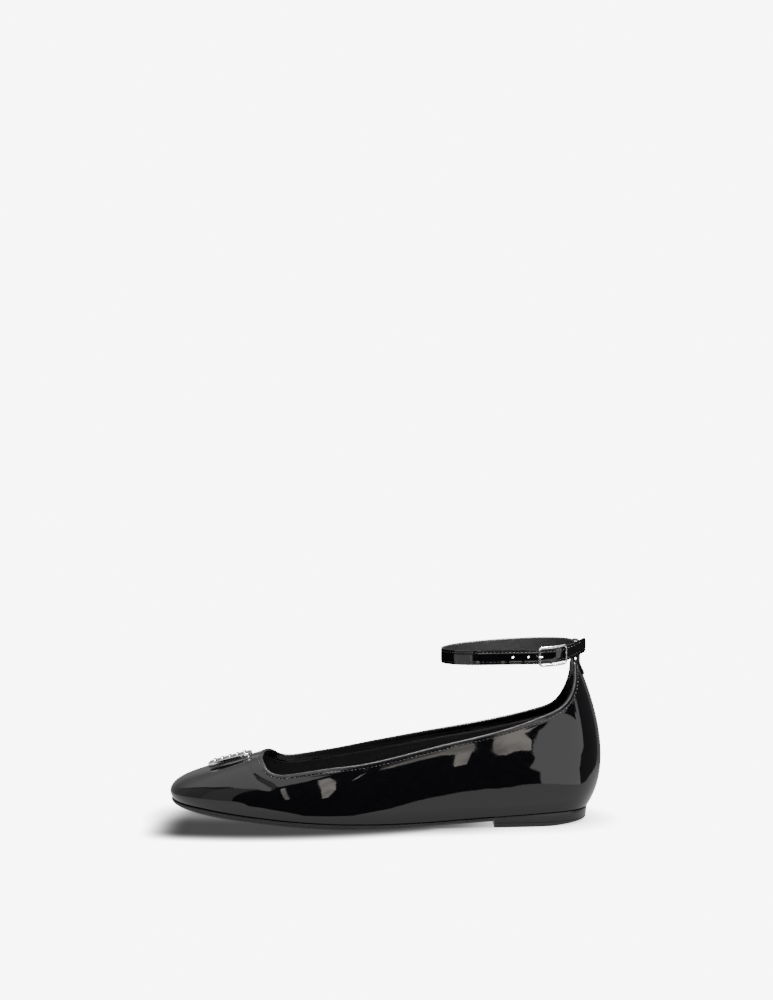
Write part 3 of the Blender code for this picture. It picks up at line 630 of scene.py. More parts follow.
# Outsole
# Black leather from the toe to the heel breast, stuck on under the upper. Its edge is inked and waxed,
# with one scored line, and a shallow channel runs round its tread.
HEEL_BREAST = 0.742
GAP = 0.0003
sole_leather, shader, s = new_finish("sole_leather", IOR=1.45)
scuff = s.noise(180, 6.0, stretch=(1, 1, 1))
drag = s.noise(400, 3.0, stretch=(0.12, 1, 1))
feed(
    shader,
    Base_Color=s.mix(scuff, (0.012, 0.012, 0.0125), (0.026, 0.026, 0.027)),
    Roughness=0.30 + 0.22 * drag,
    Normal=s.bump(drag, 0.00002, s.bump(s.cells(1400).step(0.0, 0.3), 0.000015)),
)


def feather_sides(stations):
    """The feather line's y and its slope at each place along, for the outer and then the inner side."""
    foot = last_sections(np.arange(960) / 960)[0]
    toe = foot[:, 0].argmin()
    places = (stations - 0.5) * SHOE_LENGTH
    sides = []
    for half, sign in ((foot[: toe + 1][::-1], -1), (foot[toe:], 1)):
        order = np.maximum.accumulate(half[:, 0]) + np.arange(len(half)) * 1e-9
        slope = np.interp(places, order, np.gradient(half[:, 1]) / np.gradient(order))
        outward = unit(np.column_stack([-sign * slope, np.full(len(places), float(sign))]))
        sides.append((np.column_stack([places, np.interp(places, order, half[:, 1])]), outward))
    return sides


def plate(name, sides, profile, cut, finish):
    """Rings at offsets from both sides of the feather line, stacked, with strips across for both faces.

    The station that cut names keeps its place along, so that end stays flat.
    """
    rings = []
    for offset, heights in profile:
        rows = []
        for line, outward in sides:
            plan = line + outward * offset
            plan[cut, 0] = line[cut, 0]
            rows.append(np.column_stack([plan, heights]))
        rings.append(np.vstack([rows[0], rows[1][::-1]]))
    rings = np.stack(rings)
    count = rings.shape[1]
    i = np.arange(count // 2 - 1)
    strip = np.column_stack([i, i + 1, count - 2 - i, count - 1 - i])
    faces = [grid_faces(len(rings), count, False, True), strip, strip + (len(rings) - 1) * count]
    return new_piece(name, rings, faces, finish, sharp=40)


foot_x = last_sections(np.arange(480) / 480)[0][:, 0] / SHOE_LENGTH + 0.5
tip, back = foot_x.min() + 0.0003, foot_x.max() - 0.0003
stations = tip + (HEEL_BREAST - GAP / SHOE_LENGTH - tip) * np.linspace(0, 1, 170) ** 2
low, high = tread_height(stations), feather_height(stations) - GAP
profile = [
    (-0.0049, low),
    (-0.0046, low + 0.00014),
    (-0.0043, low + 0.00020),
    (-0.0040, low + 0.00014),
    (-0.0037, low),
    (-0.0009, low),
    (-0.0004, low + 0.00010),
    (0.0000, low + 0.00034),
    (0.00035, low + 0.00070),
    (0.00056, low + 0.00100),
    (0.0006, low * 0.45 + high * 0.55 - 0.0001),
    (0.00046, low * 0.42 + high * 0.58),
    (0.00046, low * 0.38 + high * 0.62),
    (0.0006, low * 0.35 + high * 0.65 + 0.0001),
    (0.0006, high - 0.00040),
    (0.00045, high - 0.00014),
    (0.0002, high),
]
outsole = plate("outsole_leather", feather_sides(stations), profile, -1, sole_leather)
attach(outsole, "root")
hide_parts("outsole")

# Heel
# A low stacked block under the heel seat, inked black, with a rubber top piece at the floor. It is
# nailed and glued on from inside, so nothing shows but the joint line.
HEEL_STATIONS = 90
ROLL_START = 0.86
ROLL_RISE = 0.0015
TOP_PIECE = 0.0026
heel_finish, shader, s = new_finish("heel_block", IOR=1.45)
buffed = s.noise(300, 4.0, stretch=(0.25, 0.25, 1))
feed(
    shader,
    Base_Color=s.mix(buffed, (0.012, 0.012, 0.0125), (0.022, 0.022, 0.023)),
    Roughness=0.22 + 0.16 * buffed,
    Normal=s.bump(buffed, 0.00002),
)
stations = back - (back - HEEL_BREAST) * np.linspace(1, 0, HEEL_STATIONS) ** 2
top = feather_height(stations) - GAP
roll = ROLL_RISE * smooth((stations - ROLL_START) / (back - ROLL_START))
joint = np.full(HEEL_STATIONS, TOP_PIECE)
profile = [
    (-0.0045, roll),
    (-0.0015, roll),
    (-0.0011, roll + 0.00012),
    (-0.0008, roll + 0.00045),
    (-0.00075, joint - 0.00018),
    (-0.00095, joint - 0.00005),
    (-0.00095, joint + 0.00005),
    (-0.00072, joint + 0.00018),
    (-0.0004, (joint + top) / 2),
    (-0.00005, top - 0.00045),
    (-0.0002, top - 0.00012),
    (-0.0005, top),
]
heel = plate("heel_stack", feather_sides(stations), profile, 0, heel_finish)
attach(heel, "root")
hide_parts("heel")

# Ankle strap
# Black patent leather, folded at both edges over a lining, with a row of stitches along each edge.
# It starts at the buckle's bar, runs once round the ankle and ends past the buckle in its tail.
STRAP_CENTRE = 0.7835
STRAP_HALF_LENGTH = 0.1585 * SHOE_LENGTH
STRAP_HALF_WIDTH = 0.345 * BALL_WIDTH
STRAP_HEIGHT = 0.972 * TOP_HEIGHT
STRAP_PITCH = 0.058
STRAP_BAND = 0.0084
STRAP_THICKNESS = 0.0016
STRAP_BACK_DIP = 0.0014
TAIL_LENGTH = 0.0170
TAIL_RISE = 0.30
TAIL_EASE = 0.004
BUCKLE_SAG = 0.0015
BACK_DIP_TURN = 0.35
BUCKLE_SAG_TURN = 0.55
STRAP_SKIN_WALL = 0.0010
STRAP_LINING_TOP = 0.00105
STRAP_LINING_INSET = 0.0003
HOLE_DIAMETER = 0.0013
HOLE_PITCH = 0.0090
HOLE_STRETCHES = (2.0, 1.0, 1.0)
BUCKLE_PLACE = 0.575
BUCKLE_LENGTH = 0.0172
BAR_DIAMETER = 0.0011
PRONG_HOLE = 0.0056
FOLD_LINE = 0.0027
FOLD_DIP = 0.00009
EDGE_ROUND = 0.00030
TIP_ROUND = 0.0012
# the band's rows are laid out for this half height, and then stretched to its own
GRID_HALF = 0.0036
FIRST_STITCH = 0.031
LAST_STITCH = 0.0025
STRAP_STITCH_PITCH = 0.0022
STRAP_STITCH_LENGTH = 0.0016
STRAP_STITCH_SINK = 0.00020


def strap_turn():
    """Angles round the strap's ellipse from the buckle bar, back first, and the length run so far."""
    start = -math.acos(BUCKLE_PLACE)
    angle = np.linspace(start, start + 2 * math.pi, 1441)
    speed = np.hypot(STRAP_HALF_LENGTH * np.sin(angle), STRAP_HALF_WIDTH * np.cos(angle))
    run = np.concatenate([[0], np.cumsum((speed[1:] + speed[:-1]) / 2 * (angle[1] - angle[0]))])
    return angle, run


def strap_frames(places):
    """Middle of the strap's outer face and its outward direction, at lengths run from the bar.

    An ellipse in plan, pitched up to the back and dipping there; past the buckle it runs straight on.
    """
    angles, run = strap_turn()
    whole = run[-1]
    held = np.minimum(places, whole + BUCKLE_LENGTH / 2)
    angle = np.interp(np.where(held > whole, held - whole, held), run, angles)
    angle = (angle + math.pi) % (2 * math.pi) - math.pi
    sine, cosine = np.sin(angle), np.cos(angle)
    tangent = unit(np.column_stack([-STRAP_HALF_LENGTH * sine, STRAP_HALF_WIDTH * cosine]))
    free = places - held
    across = np.column_stack([STRAP_HALF_LENGTH * cosine, STRAP_HALF_WIDTH * sine])
    plan = across + tangent * free[:, None]
    plan[:, 0] += (STRAP_CENTRE - 0.5) * SHOE_LENGTH
    height = STRAP_HEIGHT + STRAP_BAND / 2 + STRAP_PITCH * across[:, 0]
    height += TAIL_RISE * free**2 / (free + TAIL_EASE)
    height -= STRAP_BACK_DIP * np.exp(-((angle / BACK_DIP_TURN) ** 2))
    height -= BUCKLE_SAG * np.exp(-(((angle + math.acos(BUCKLE_PLACE)) / BUCKLE_SAG_TURN) ** 2))
    outward = np.column_stack([tangent[:, 1], -tangent[:, 0], np.zeros(len(angle))])
    return np.column_stack([plan, height]), outward


def strap_lap(places):
    """The first stretch lies one thickness in under the last, and eases out past the buckle."""
    return -(STRAP_THICKNESS + GAP) * (1 - smooth((places - BUCKLE_LENGTH / 2 - 0.002) / 0.028))


def strap_points(places, depth, height):
    """Points at a depth out of the strap's outer face and a height from its middle line."""
    places, depth, height = np.broadcast_arrays(places, depth, height)
    middle, outward = strap_frames(places.ravel())
    points = middle + outward * depth.reshape(-1, 1)
    points[:, 2] += height.ravel()
    return points.reshape(*places.shape, 3)


whole = strap_turn()[1][-1]
strap_first = BAR_DIAMETER / 2 + GAP
strap_last = whole + BUCKLE_LENGTH / 2 + TAIL_LENGTH
holes = [(whole - PRONG_HOLE - k * HOLE_PITCH, stretch) for k, stretch in enumerate(HOLE_STRETCHES)]
# half sides of the square drawn round a hole and of the square taken out there, and the grid's step
hole_reach, hole_cell, hole_step = 0.0018, 0.0009, 0.0003
lines = [place + stretch * np.arange(-6, 7) * hole_step for place, stretch in holes]
fill = np.arange(strap_first, strap_last, 2 * hole_step)
clear = np.all([abs(fill - place) > hole_reach * stretch + hole_step for place, stretch in holes], axis=0)
strap_places = np.sort(np.concatenate([fill[clear], [strap_last], *lines]))


def strap_band(name, outer, inner, half, finish):
    """A band from the strap's start to its tail: a closed section carried along, with its holes punched.

    Round each hole the grid's squares are drawn into ovals, and walls join the outer and inner face.
    """
    rows = np.arange(-11, 12) * hole_step * half / GRID_HALF
    soft = (outer - inner) / 2
    turn_over = np.array([0.25, 0.5, 0.75]) * math.pi
    fold = FOLD_DIP * np.exp(-(((abs(rows) - FOLD_LINE) / 0.0003) ** 2)) + EDGE_ROUND * (rows / half) ** 4
    face = outer - fold if finish is patent else np.full(len(rows), outer)
    rim_depth = (outer + inner) / 2 + soft * np.cos(turn_over)
    rim_height = rows[-1] + (half - rows[-1]) * np.sin(turn_over)
    depth = np.concatenate([face, rim_depth, np.full(len(rows), inner), rim_depth[::-1]])
    height = np.concatenate([rows, rim_height, rows[::-1], -rim_height])
    along, up = np.meshgrid(strap_places, height, indexing="ij")
    places, heights = along.copy(), up.copy()
    gone = np.zeros(along.shape, bool)
    ring_faces = []
    for place, stretch in holes:
        x, y = (along - place) / stretch, up * GRID_HALF / half
        far = np.maximum(np.maximum(abs(x), abs(y)), 1e-9)
        share = np.clip((far - hole_cell) / (hole_reach - hole_cell), 0, 1)
        near = far < hole_reach
        out = np.hypot(x, y) + 1e-12
        scale = np.where(near, HOLE_DIAMETER / 2 / out * (1 - share) + hole_reach / far * share, 1)
        places = np.where(near, place + x * scale * stretch, places)
        heights = np.where(near, y * scale, heights)
        gone |= far < hole_cell + 1e-6
        first = abs(strap_places - (place - stretch * hole_cell)).argmin()
        i = first + np.array([*range(6), *[6] * 6, *range(6, 0, -1), *[0] * 6])
        j = 8 + np.array([*[0] * 6, *range(6), *[6] * 6, *range(6, 0, -1)])
        face_ring, back_ring = i * len(height) + j, i * len(height) + 48 - j
        next_face, next_back = np.roll(face_ring, -1), np.roll(back_ring, -1)
        ring_faces.append(np.column_stack([face_ring, next_face, next_back, back_ring]))
    near_end = np.clip((strap_places - strap_last + TIP_ROUND) / TIP_ROUND, 0, 1)[:, None]
    heights = heights * (1 - (1 - np.sqrt(1 - near_end**2)) * TIP_ROUND / half)
    points = strap_points(places, depth[None] + strap_lap(places), heights)
    corners = grid_faces(*along.shape, False, True)
    walls = corners[~gone.ravel()[corners].all(1)]
    ring = np.arange(len(height))[None]
    faces = [walls, *ring_faces, ring, ring + (len(strap_places) - 1) * len(height)]
    return new_piece(name, points, faces, finish, sharp=50)


half_band = STRAP_BAND / 2
strap = strap_band("strap_skin", 0.0, -STRAP_SKIN_WALL, half_band, patent)
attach(strap, "root")
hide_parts("ankle_strap")
lining_half = half_band - STRAP_LINING_INSET
strap_lining = strap_band("strap_lining", -STRAP_LINING_TOP, -STRAP_THICKNESS, lining_half, lining_leather)
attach(strap_lining, "root")

at = np.tile(np.arange(FIRST_STITCH, strap_last - LAST_STITCH, STRAP_STITCH_PITCH), 2)
side = np.repeat([-FOLD_LINE, FOLD_LINE], len(at) // 2)
centres = strap_points(at, strap_lap(at) - STRAP_STITCH_SINK, side)
before, after = (strap_points(at + step, strap_lap(at + step), side) for step in (-0.0002, 0.0002))
outward = strap_frames(at)[1]
strap_stitches = stitch_row("strap_stitches", centres, unit(after - before), outward, STRAP_STITCH_LENGTH)
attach(strap_stitches, "root")

# Heel tab loop
# The tab's patent leather runs on upwards, folds over the strap and comes down inside, where it is
# stitched to the lining. The strap slides through the fold.
LOOP_WALL = 0.0010
LOOP_HALF_WIDTH = 0.0065
LOOP_ROWS = 110
LOOP_COLUMNS = 25
ON_TAB = (
    # height, and how far out of the tab's face the middle of the loop's wall lies
    (0.0835, 0.00055),
    (0.0865, 0.00055),
    (0.0900, 0.00058),
)
angles, run = strap_turn()
back_place = np.interp(0, angles, run)
loop_places = back_place + LOOP_HALF_WIDTH * np.linspace(-1, 1, LOOP_COLUMNS)
middle, outward = strap_frames(loop_places)
lap = strap_lap(loop_places)
space = GAP + LOOP_WALL / 2
tab = plain_skin[(turn < 0.05) | (turn > 0.95)].reshape(-1, 3)
tab = tab[(tab[:, 2] > 0.076) & (abs(tab[:, 1]) < 0.011)]


def tab_terms(y, z):
    """The powers of side and height that add up to the tab's place along, even in the side."""
    return np.column_stack([np.ones(len(y)), z, z**2, y**2, y**2 * z, y**4])


tab_fit = np.linalg.lstsq(tab_terms(tab[:, 1], tab[:, 2]), tab[:, 0], rcond=None)[0]


def on_tab(height, out):
    """The tab's fitted face at each place's side and this height, moved out from the foot by out."""
    y = (middle + outward * lap[:, None])[:, 1]
    z = np.full(LOOP_COLUMNS, height)
    return np.column_stack([tab_terms(y, z) @ tab_fit + out, y, z])


def round_strap(depth, height):
    """A point beside the strap: depth out of its lapped outer face and height over its middle line."""
    return strap_points(loop_places, lap + depth, np.full(LOOP_COLUMNS, height))


def blunt(count, power, least):
    """Root of one less the power of the way from the middle, so a wall that is rounded at both ends."""
    return np.sqrt(np.clip(1 - (np.linspace(-1, 1, count) ** 2) ** power, least, 1))


route = np.stack([
    *[on_tab(height, out) for height, out in ON_TAB],
    round_strap(space, -half_band + 0.0002),
    round_strap(space, 0),
    round_strap(space, half_band - 0.0006),
    round_strap(space * 0.45, half_band + space * 0.85),
    round_strap(-STRAP_THICKNESS / 2, half_band + space),
    round_strap(-STRAP_THICKNESS - space * 0.45, half_band + space * 0.85),
    round_strap(-STRAP_THICKNESS - space, half_band - 0.0006),
    round_strap(-STRAP_THICKNESS - space, 0),
    round_strap(-STRAP_THICKNESS - space, -half_band + 0.0002),
    *[on_tab(height, -UPPER_WALL - out) for height, out in reversed(ON_TAB)],
])
knots = run_open(route[:, LOOP_COLUMNS // 2])
path = spline(knots, route.reshape(len(route), -1), np.linspace(0, knots[-1], LOOP_ROWS))
path = path.reshape(LOOP_ROWS, LOOP_COLUMNS, 3)
loop_normal = unit(np.cross(np.gradient(path, axis=1), np.gradient(path, axis=0)))
edge, tips = blunt(LOOP_COLUMNS, 14, 0.02), blunt(LOOP_ROWS, 40, 0.05)
half = LOOP_WALL / 2 * edge[None, :, None] * tips[:, None, None]
outer_face, inner_face = path + loop_normal * half, path - loop_normal * half
shell = np.concatenate([outer_face, inner_face[:, ::-1]], 1)
ring = np.arange(shell.shape[1])[None]
faces = [grid_faces(*shell.shape[:2], False, True), ring[:, ::-1], ring + (LOOP_ROWS - 1) * shell.shape[1]]
loop_fields = {"below_rim": np.full(shell.shape[:2], 0.01), "stitch": np.zeros(shell.shape[:2])}
loop = new_piece("back_loop_skin", shell, faces, patent, loop_fields)
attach(loop, "root")
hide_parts("back_loop")

# Buckle frame
# A rounded oblong of polished white metal, cast in one with the bar that the strap starts at. It lies on
# the strap's outer face.
RAIL_DIAMETER = 0.0013
BUCKLE_CORNER = 0.0016
RAIL_SQUARENESS = 2.8
BAR_ROWS = 60
polished_metal, shader, s = new_finish("polished_metal", Metallic=1.0)
smear = s.noise(500, 5.0)
hairline = s.noise(2200, 2.0, stretch=(1, 0.08, 1))
feed(
    shader,
    Base_Color=s.mix(smear, (0.74, 0.74, 0.75), (0.86, 0.86, 0.87)),
    Roughness=0.10 + 0.10 * smear,
    Normal=s.bump(hairline, 0.000006),
)


def swept(path, outward, profile, closed):
    """The profile carried along a path: its first number goes sideways and its second outwards."""
    ahead = np.roll(path, -1, 0) - np.roll(path, 1, 0) if closed else np.gradient(path, axis=0)
    ahead = unit(ahead)
    side = unit(np.cross(outward, ahead))
    up = np.cross(ahead, side)
    return path[:, None] + side[:, None] * profile[..., :1] + up[:, None] * profile[..., 1:]


def round_profile(radius, squareness=2.0, count=20):
    """Points round a circle, or round a squarer oval with a higher power."""
    angle = np.arange(count) / count * 2 * math.pi
    x, y = np.cos(angle), np.sin(angle)
    return np.column_stack([np.sign(v) * abs(v) ** (2 / squareness) for v in (x, y)]) * radius


def rod(name, points, closed, finish):
    """A swept grid of points as a piece, with its two ends closed where it isn't a ring."""
    stations, count = points.shape[:2]
    faces = [grid_faces(stations, count, closed, True)]
    if not closed:
        ring = np.arange(count)[None]
        faces += [ring[:, ::-1], ring + (stations - 1) * count]
    return new_piece(name, points, faces, finish)


def rounded_oblong(half_long, half_high, corner, step):
    """An oblong with circular corners, run round at an even step."""
    turn = np.linspace(0, math.pi / 2, 12)
    corners = [(1, 1, 0), (-1, 1, 1), (-1, -1, 2), (1, -1, 3)]
    line = np.vstack([
        np.column_stack([
            right * (half_long - corner) + corner * np.cos(turn + quarter * math.pi / 2),
            up * (half_high - corner) + corner * np.sin(turn + quarter * math.pi / 2),
        ])
        for right, up, quarter in corners
    ])
    run = run_along(line)
    at = np.linspace(0, run[-1], round(run[-1] / step), endpoint=False)
    return np.column_stack([np.interp(at, run, np.append(line[:, k], line[0, k])) for k in range(2)])


rail_depth = GAP + RAIL_DIAMETER / 2
reach = GAP + BAR_DIAMETER / 2
half_high = STRAP_BAND / 2 + GAP + BAR_DIAMETER / 2
loop_line = rounded_oblong(BUCKLE_LENGTH / 2, half_high, BUCKLE_CORNER, 0.0003)
path = strap_points(whole + loop_line[:, 0], rail_depth, loop_line[:, 1])
outward = strap_frames(whole + loop_line[:, 0])[1]
profile = round_profile(RAIL_DIAMETER / 2, RAIL_SQUARENESS, 24)
rails = rod("buckle_rails", swept(path, outward, profile, True), True, polished_metal)
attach(rails, "root")
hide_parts("buckle_frame")

bend = np.linspace(0, math.pi / 2, 9)
side = np.column_stack([half_band + reach * np.cos(bend), -STRAP_THICKNESS - reach * np.sin(bend)])
side = np.vstack([[half_high, rail_depth], side])
line = np.vstack([side, side[::-1] * (-1, 1)])
knots = run_open(line)
at = np.linspace(0, knots[-1], BAR_ROWS)
height, depth = np.interp(at, knots, line[:, 0]), np.interp(at, knots, line[:, 1])
path = strap_points(np.full(BAR_ROWS, whole), depth, height)
before, after = strap_points(whole + np.array([-0.0005, 0.0005]), 0, 0)
outward = np.tile(after - before, (BAR_ROWS, 1))
bar = rod("buckle_bar", swept(path, outward, round_profile(BAR_DIAMETER / 2), False), False, polished_metal)
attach(bar, "root")

# Buckle prong
# A bent metal pin that hooks round the bar, comes up through the strap's slot and rests across the
# frame's front rail.
PRONG_DIAMETER = 0.0010
PRONG_SLOT = 0.0040
PRONG_ROWS = 90
bar_depth = -STRAP_THICKNESS - reach
hook = BAR_DIAMETER / 2 + GAP + PRONG_DIAMETER / 2
over = rail_depth + RAIL_DIAMETER / 2 + GAP + PRONG_DIAMETER / 2
front = BUCKLE_LENGTH / 2
curl = np.linspace(4.5, 3.3, 7)
line = np.vstack([
    np.column_stack([hook * np.cos(curl), bar_depth + hook * np.sin(curl)]),
    [
        (-0.22 * front, bar_depth),
        (-PRONG_HOLE + 0.45 * PRONG_SLOT, bar_depth + 0.1 * hook),
        (-PRONG_HOLE + 0.15 * PRONG_SLOT, -0.85 * STRAP_THICKNESS),
        (-PRONG_HOLE - 0.15 * PRONG_SLOT, -0.12 * STRAP_THICKNESS),
        (-PRONG_HOLE - 0.45 * PRONG_SLOT, 0.45 * over),
        (-0.86 * front, 0.92 * over),
        (-front, over),
        (-front - RAIL_DIAMETER / 2 - PRONG_DIAMETER / 2, 0.86 * over),
    ],
])
knots = run_open(line)
even = spline(knots, line, np.linspace(0, knots[-1], PRONG_ROWS))
path = strap_points(whole + even[:, 0], even[:, 1], 0)
upward = np.tile([0.0, 0.0, 1.0], (PRONG_ROWS, 1))
from_tip = np.linspace(knots[-1], 0, PRONG_ROWS)
rounding = np.sqrt(np.clip(1 - (1 - np.clip(from_tip / 0.0005, 0, 1)) ** 2, 0.02, 1))
thinning = rounding * (0.82 + 0.18 * smooth(from_tip / 0.004))
profile = round_profile(PRONG_DIAMETER / 2)[None] * thinning[:, None, None]
prong = rod("prong", swept(path, upward, profile, False), False, polished_metal)
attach(prong, "root")
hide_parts("buckle_prong")

# Ornament tray
# A squared oval tray of polished metal, riveted through the vamp in front of the throat. Its floor is
# bent to the vamp, and it has a raised rim.
ORNAMENT_PLACE = 0.142
ORNAMENT_LENGTH = 0.0255
ORNAMENT_WIDTH = 0.0175
ORNAMENT_HEIGHT = 0.0026
ORNAMENT_BASE = 0.0010
ORNAMENT_RIM = 0.0012
ORNAMENT_SQUARENESS = 5
ORNAMENT_POINTS = 160


def ornament_seat():
    """The vamp's tilted frame under the ornament, and the bowl, squares of both ways, that fits it."""
    place = (ORNAMENT_PLACE - 0.5) * SHOE_LENGTH
    points = plain_skin.reshape(-1, 3)
    near_along = abs(points[:, 0] - place) < 0.55 * ORNAMENT_LENGTH
    near_across = abs(points[:, 1]) < 0.6 * ORNAMENT_WIDTH
    points = points[near_along & near_across & (points[:, 2] > 0.25 * TOP_HEIGHT)]
    terms = np.column_stack([np.ones(len(points)), points[:, 0] - place, points[:, 1]])
    level, slope, tilt = np.linalg.lstsq(terms, points[:, 2], rcond=None)[0]
    ahead = np.array([1, 0, slope]) / math.hypot(1, slope)
    up = unit(np.cross(ahead, np.array([0, 1, tilt])))
    directions = np.array([ahead, np.cross(up, ahead), up])
    middle = np.array([place, 0, level])
    local = (points - middle) @ directions.T
    bowl_terms = np.column_stack([np.ones(len(local)), local[:, :2], local[:, :2] ** 2])
    bowl = np.linalg.lstsq(bowl_terms, local[:, 2], rcond=None)[0]
    return middle, directions, bowl, (local[:, 2] - bowl_terms @ bowl).max() + GAP


seat = ornament_seat()


def ornament_points(plan, heights):
    """Plan points in the ornament's own frame, lifted over the vamp's bowl."""
    middle, directions, bowl, lift = seat
    base = np.column_stack([np.ones(len(plan)), plan, plan**2]) @ bowl + lift
    return middle + np.column_stack([plan, base + heights]) @ directions


def ornament_ring(inset, height):
    """A squared oval: cosine and sine of the turn, each to a low power, times the half sizes."""
    angle = np.arange(ORNAMENT_POINTS) / ORNAMENT_POINTS * 2 * math.pi
    x, y = -np.cos(angle), -np.sin(angle)
    power = 2 / ORNAMENT_SQUARENESS
    plan = np.column_stack([np.sign(v) * abs(v) ** power for v in (x, y)])
    return ornament_points(plan * (ORNAMENT_LENGTH / 2 - inset, ORNAMENT_WIDTH / 2 - inset), height)


def stacked(name, profile, finish):
    """Rings of a profile, stacked, and drawn in at both ends to the middle."""
    first, last = profile[0], profile[-1]
    rings = [ornament_ring(first[0] + step, first[1]) for step in (0.0080, 0.0040)]
    rings += [ornament_ring(*row) for row in profile]
    rings += [ornament_ring(last[0] + step, last[1]) for step in (0.0030, 0.0060)]
    rings = np.stack(rings)
    ring = np.arange(ORNAMENT_POINTS)[None]
    ends = [ring, ring + (len(rings) - 1) * ORNAMENT_POINTS]
    faces = [grid_faces(len(rings), ORNAMENT_POINTS, False, True), *ends]
    return new_piece(name, rings, faces, finish, sharp=60)


rim, soft = ORNAMENT_RIM, 0.3 * ORNAMENT_RIM
quarter = np.linspace(0, math.pi / 2, 6)
shoulder = ORNAMENT_HEIGHT - soft
profile = [(soft * 0.6, 0), (0, soft * 0.6)]
profile += [(soft - soft * math.cos(a), shoulder + soft * math.sin(a)) for a in quarter]
profile += [(rim - soft + soft * math.sin(a), shoulder + soft * math.cos(a)) for a in quarter]
profile += [(rim, ORNAMENT_BASE)]
tray = stacked("ornament_tray_metal", profile, polished_metal)
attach(tray, "root")
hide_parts("ornament_tray")

# Ornament enamel
# Black enamel poured into the tray, with a slightly crowned glassy face.
enamel_finish, shader, s = new_finish("black_enamel", IOR=1.55)
cloud = s.noise(420, 3.0)
feed(
    shader,
    Base_Color=s.mix(cloud, (0.004, 0.004, 0.005), (0.010, 0.010, 0.011)),
    Roughness=0.04 + 0.05 * cloud,
    Normal=s.bump(s.noise(900, 2.0), 0.000008),
)
face = ORNAMENT_HEIGHT - GAP
inset = rim + 0.00004
profile = [
    (inset, ORNAMENT_BASE + 0.00005),
    (inset, face - 0.0003),
    (inset + 0.0002, face - 0.00008),
    (inset + 0.0006, face),
]
enamel = stacked("ornament_enamel_fill", profile, enamel_finish)
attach(enamel, "root")
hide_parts("ornament_enamel")

# Ornament bars
# Five short polished bars laid across the enamel in an even row, their tops rounded.
BAR_COUNT = 5
BAR_WIDTH = 0.0020
BAR_HEIGHT = 0.0015
BAR_SPREAD = 0.70
BAR_REACH = 0.52


def crossbar(index):
    """A half-oval section carried across the enamel, drawn in and down to rounded ends."""
    place = (index / (BAR_COUNT - 1) - 0.5) * BAR_SPREAD * ORNAMENT_LENGTH
    reach = BAR_REACH * ORNAMENT_WIDTH / 2
    angle = np.linspace(0, math.pi, 15)
    along = np.concatenate([-np.cos(angle), [0.5, 0, -0.5]]) * BAR_WIDTH / 2
    rise = np.concatenate([np.sin(angle) ** 0.7 * BAR_HEIGHT, [-0.00005] * 3])
    across = np.sin(np.linspace(-1, 1, 33) * math.pi / 2) * reach
    ends = np.sqrt(np.clip(1 - np.clip((abs(across) - reach + 0.001) / 0.001, 0, 1) ** 2, 0.01, 1))
    rows, columns = len(across), len(rise)
    plan = np.stack([place + along[None] * ends[:, None], np.repeat(across[:, None], columns, 1)], -1)
    heights = face + rise[None] * ends[:, None]
    return ornament_points(plan.reshape(-1, 2), heights.ravel()).reshape(rows, columns, 3)


for index in range(BAR_COUNT):
    bar = rod(f"ornament_bar_{index + 1}_metal", crossbar(index), False, polished_metal)
    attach(bar, "root")
    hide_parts(f"ornament_bar_{index + 1}")

# Floor and lights
# A pale floor under an even pale sky, both evenly bright to the camera and dimmer in the gloss. On the
# floor's glow a contact shade is painted close under the shoe and a soft bowed shadow along its outer side,
# and in the gloss it is painted darker near the shoe and away from the camera.
FLOOR_HALF = 6
FLOOR_TO_CAMERA = 8.0
FLOOR_IN_GLOSS = 1.1
SKY_IN_GLOSS = 0.3
CONTACT_REACH = 0.022
SHADOW_DEPTH = 0.009
SHADOW_MIDDLE = -0.075
SHADOW_FRONT = -0.0575
SHADOW_BOW = 2.1
floor_finish = bpy.data.materials.new("pale_floor")
floor_finish.use_nodes = True
s = Shade(floor_finish.node_tree)
# occlusion near the shoe, from which contact shade is painted on the floor's glow
reach = s.add("ShaderNodeAmbientOcclusion", {"samples": 12}, {"Distance": CONTACT_REACH}, out=1)
along, across, _ = s.parts(s.place())
# painted shade in the gloss: the floor's glow is darker near the shoe and away from the camera
gloss = (1 - 0.72 * across.step(-0.03, 0.16)) * (0.45 + 0.55 * reach)
# painted shadow: a soft bowed band along the shoe's outer side, from near the toe to before the heel
bow = along - SHADOW_MIDDLE
front = (across - SHADOW_FRONT - SHADOW_BOW * bow * bow).step(-0.013, 0.014)
front = front * (1 - across.step(-0.022, 0.050))
cast = front * along.step(-0.140, -0.112) * (1 - along.step(0.020, 0.062))
# painted contact shade close under the shoe, weaker towards the heel
painted_contact_shade = 0.9 * (1 - reach) * (1 - 0.6 * along.step(0.030, 0.075))
# the floor's glow to the camera, darkened by the painted shadow and the painted contact shade
colour = s.maths("POWER", SHADOW_DEPTH, s.maths("MAXIMUM", cast, painted_contact_shade))
dim = s.add("ShaderNodeEmission", {}, {"Color": gloss, "Strength": FLOOR_IN_GLOSS})
bright = s.add("ShaderNodeEmission", {}, {"Color": colour, "Strength": FLOOR_TO_CAMERA})
seen = s.add("ShaderNodeLightPath")
whole = s.add("ShaderNodeMixShader", {}, {0: seen, 1: dim, 2: bright})
s.tree.links.new(whole.socket, s.tree.nodes["Material Output"].inputs["Surface"])
corners = FLOOR_HALF * np.array([(-1, -1, 0), (1, -1, 0), (1, 1, 0), (-1, 1, 0)], float)
floor = new_piece("floor", corners, [[(0, 1, 2, 3)]], floor_finish, closed=False)

